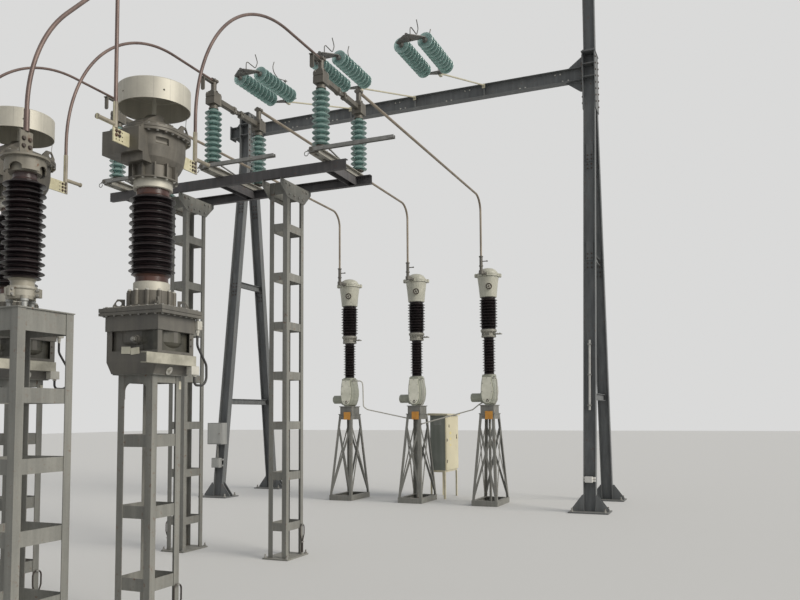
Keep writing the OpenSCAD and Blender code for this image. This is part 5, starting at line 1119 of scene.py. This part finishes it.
# %% Arcing horns
HORN_R, LIVE_BEND, HOOK_BEND = 0.008, 0.06, 0.11
LIVE_HORN = ((0, 7.502), (0, 7.715), (0.28, 7.7), (0.345, 7.83), (0.27, 7.945))
HORN_POST = ((0, 7.502), (0, 7.9))
HORN_HOOK = ((0.02, 7.872), (-0.29, 7.8), (-0.43, 7.85), (-0.475, 7.935), (-0.425, 8.05))
horns = []
for x in STRINGS:
    horns.append(rounded([(x, FRONT_Y + 0.03 + y, z) for y, z in LIVE_HORN], LIVE_BEND))
    horns.append([(x, REAR_Y - 0.04 + y, z) for y, z in HORN_POST])
    horns.append(rounded([(x + 0.022, REAR_Y - 0.04 + y, z) for y, z in HORN_HOOK], HOOK_BEND))
rod_piece("arcing_horns", horns, HORN_R, "fitting")
print("horns", len(horns))

# %% [markdown]
# ## Earthing tails
# At the foot of each arrester, transformer and platform post a dark braid
# leaves a lug, rises along the leg, makes a loop against it, and comes back
# down to the plate. Its loop is the spare length that the fitters left, and
# two ties hold it to the leg.

# %% Braids at the feet
BRAID_D, BRAID_OFF, LOOP_BEND = 0.014, 0.0115, 0.043
BRAID_LOOP = ((0.0, 0.01), (0.0, 0.16), (-0.032, 0.235), (-0.032, 0.36),
              (0.056, 0.36), (0.056, 0.235), (0.024, 0.16), (0.024, 0.01))
TIES = ((-0.011, 0.035, 0.14), (-0.002, 0.026, 0.351))
feet_of_braids = [("arrester", x, ARRESTER_Y, -0.223, 0.185) for x in PHASES]
feet_of_braids += [("transformer", x, TRANSFORMER_Y, 0.167, 0.132) for x in PHASES]
feet_of_braids += [("post", POST_X, 0.0, 0.123, 0.15), ("post", -POST_X, 0.0, -0.123, -0.17)]
lugs = bmesh.new()
for number, (owner, x, y, leg_x, leg_y) in enumerate(feet_of_braids, 1):
    face = x + leg_x + math.copysign(BRAID_OFF, leg_x)
    place = moved(face, y + leg_y, BASE_TOP) @ turned(90, "Z")
    line = rounded([place @ Vector((a, 0.0, b)) for a, b in BRAID_LOOP], LOOP_BEND, 4)
    braid = rod_piece("%s_braid_%d" % (owner, number), [line], BRAID_D / 2, "braid",
                      sides=2)
    for a in (0.0, 0.024):
        disc(lugs, place @ moved(a, 0, 0), 0.0098, 0.022, 8)
    for low, high, z in TIES:
        block(lugs, (low, -0.0115, z), (high, 0.0115, z + 0.014), 0.002, place)
finished("braid_lugs", lugs, "bolt")
print("braids", len(feet_of_braids), "of", round(line_length(line), 3), "m")

# %% [markdown]
# ## Floor and light
# A plain pale floor, a pale background and an overcast sky. The background
# seen by the camera, and by glossy and clear surfaces, is separate from the
# light that the sky gives, so it stays pale and nothing clips.

# %% Floor, sky and lamps
FLOOR_HALF, FLOOR_SHIFT = 60.0, (0, 15, -0.002)
SUN_FROM, SUN_STRENGTH, SUN_ANGLE = (8.0, -1.0, 4.5), 2.8, math.radians(35)

grid = bmesh.new()
bmesh.ops.create_grid(grid, x_segments=1, y_segments=1, size=FLOOR_HALF,
                      matrix=moved(*FLOOR_SHIFT))
floor = added("floor", mesh_data("floor", grid))
feed(*new_finish("pale_floor"), {"Base Color": (0.6, 0.6, 0.59, 1), "Roughness": 0.9})
floor.data.materials.append(finishes["pale_floor"])

world = bpy.data.worlds.new("overcast")
scene.world = world
world.use_nodes = True
tree = world.node_tree
sky = feed(tree, tree.nodes["Background"], {"Color": (0.95, 0.97, 1.0, 1), "Strength": 0.46})
pale = node(tree, "Background", {"Color": (0.7, 0.7, 0.695, 1), "Strength": 1.0})
path = node(tree, "LightPath").outputs
clear = maths(tree, "MAXIMUM", path["Is Glossy Ray"], path["Is Transmission Ray"])
seen = maths(tree, "MAXIMUM", path["Is Camera Ray"], clear)
shown = node(tree, "MixShader", {0: seen, 1: sky.outputs[0], 2: pale.outputs[0]})
feed(tree, tree.nodes["World Output"], {"Surface": shown.outputs[0]})

sun_data = bpy.data.lights.new("soft_sun", "SUN")
sun_data.energy = SUN_STRENGTH
sun_data.angle = SUN_ANGLE
sun_data.color = (1.0, 0.95, 0.87)
added("soft_sun", sun_data).matrix_world = standing((0, 0, 0), SUN_FROM)
print("floor", 2 * FLOOR_HALF, "m, sun", sun_data.energy)
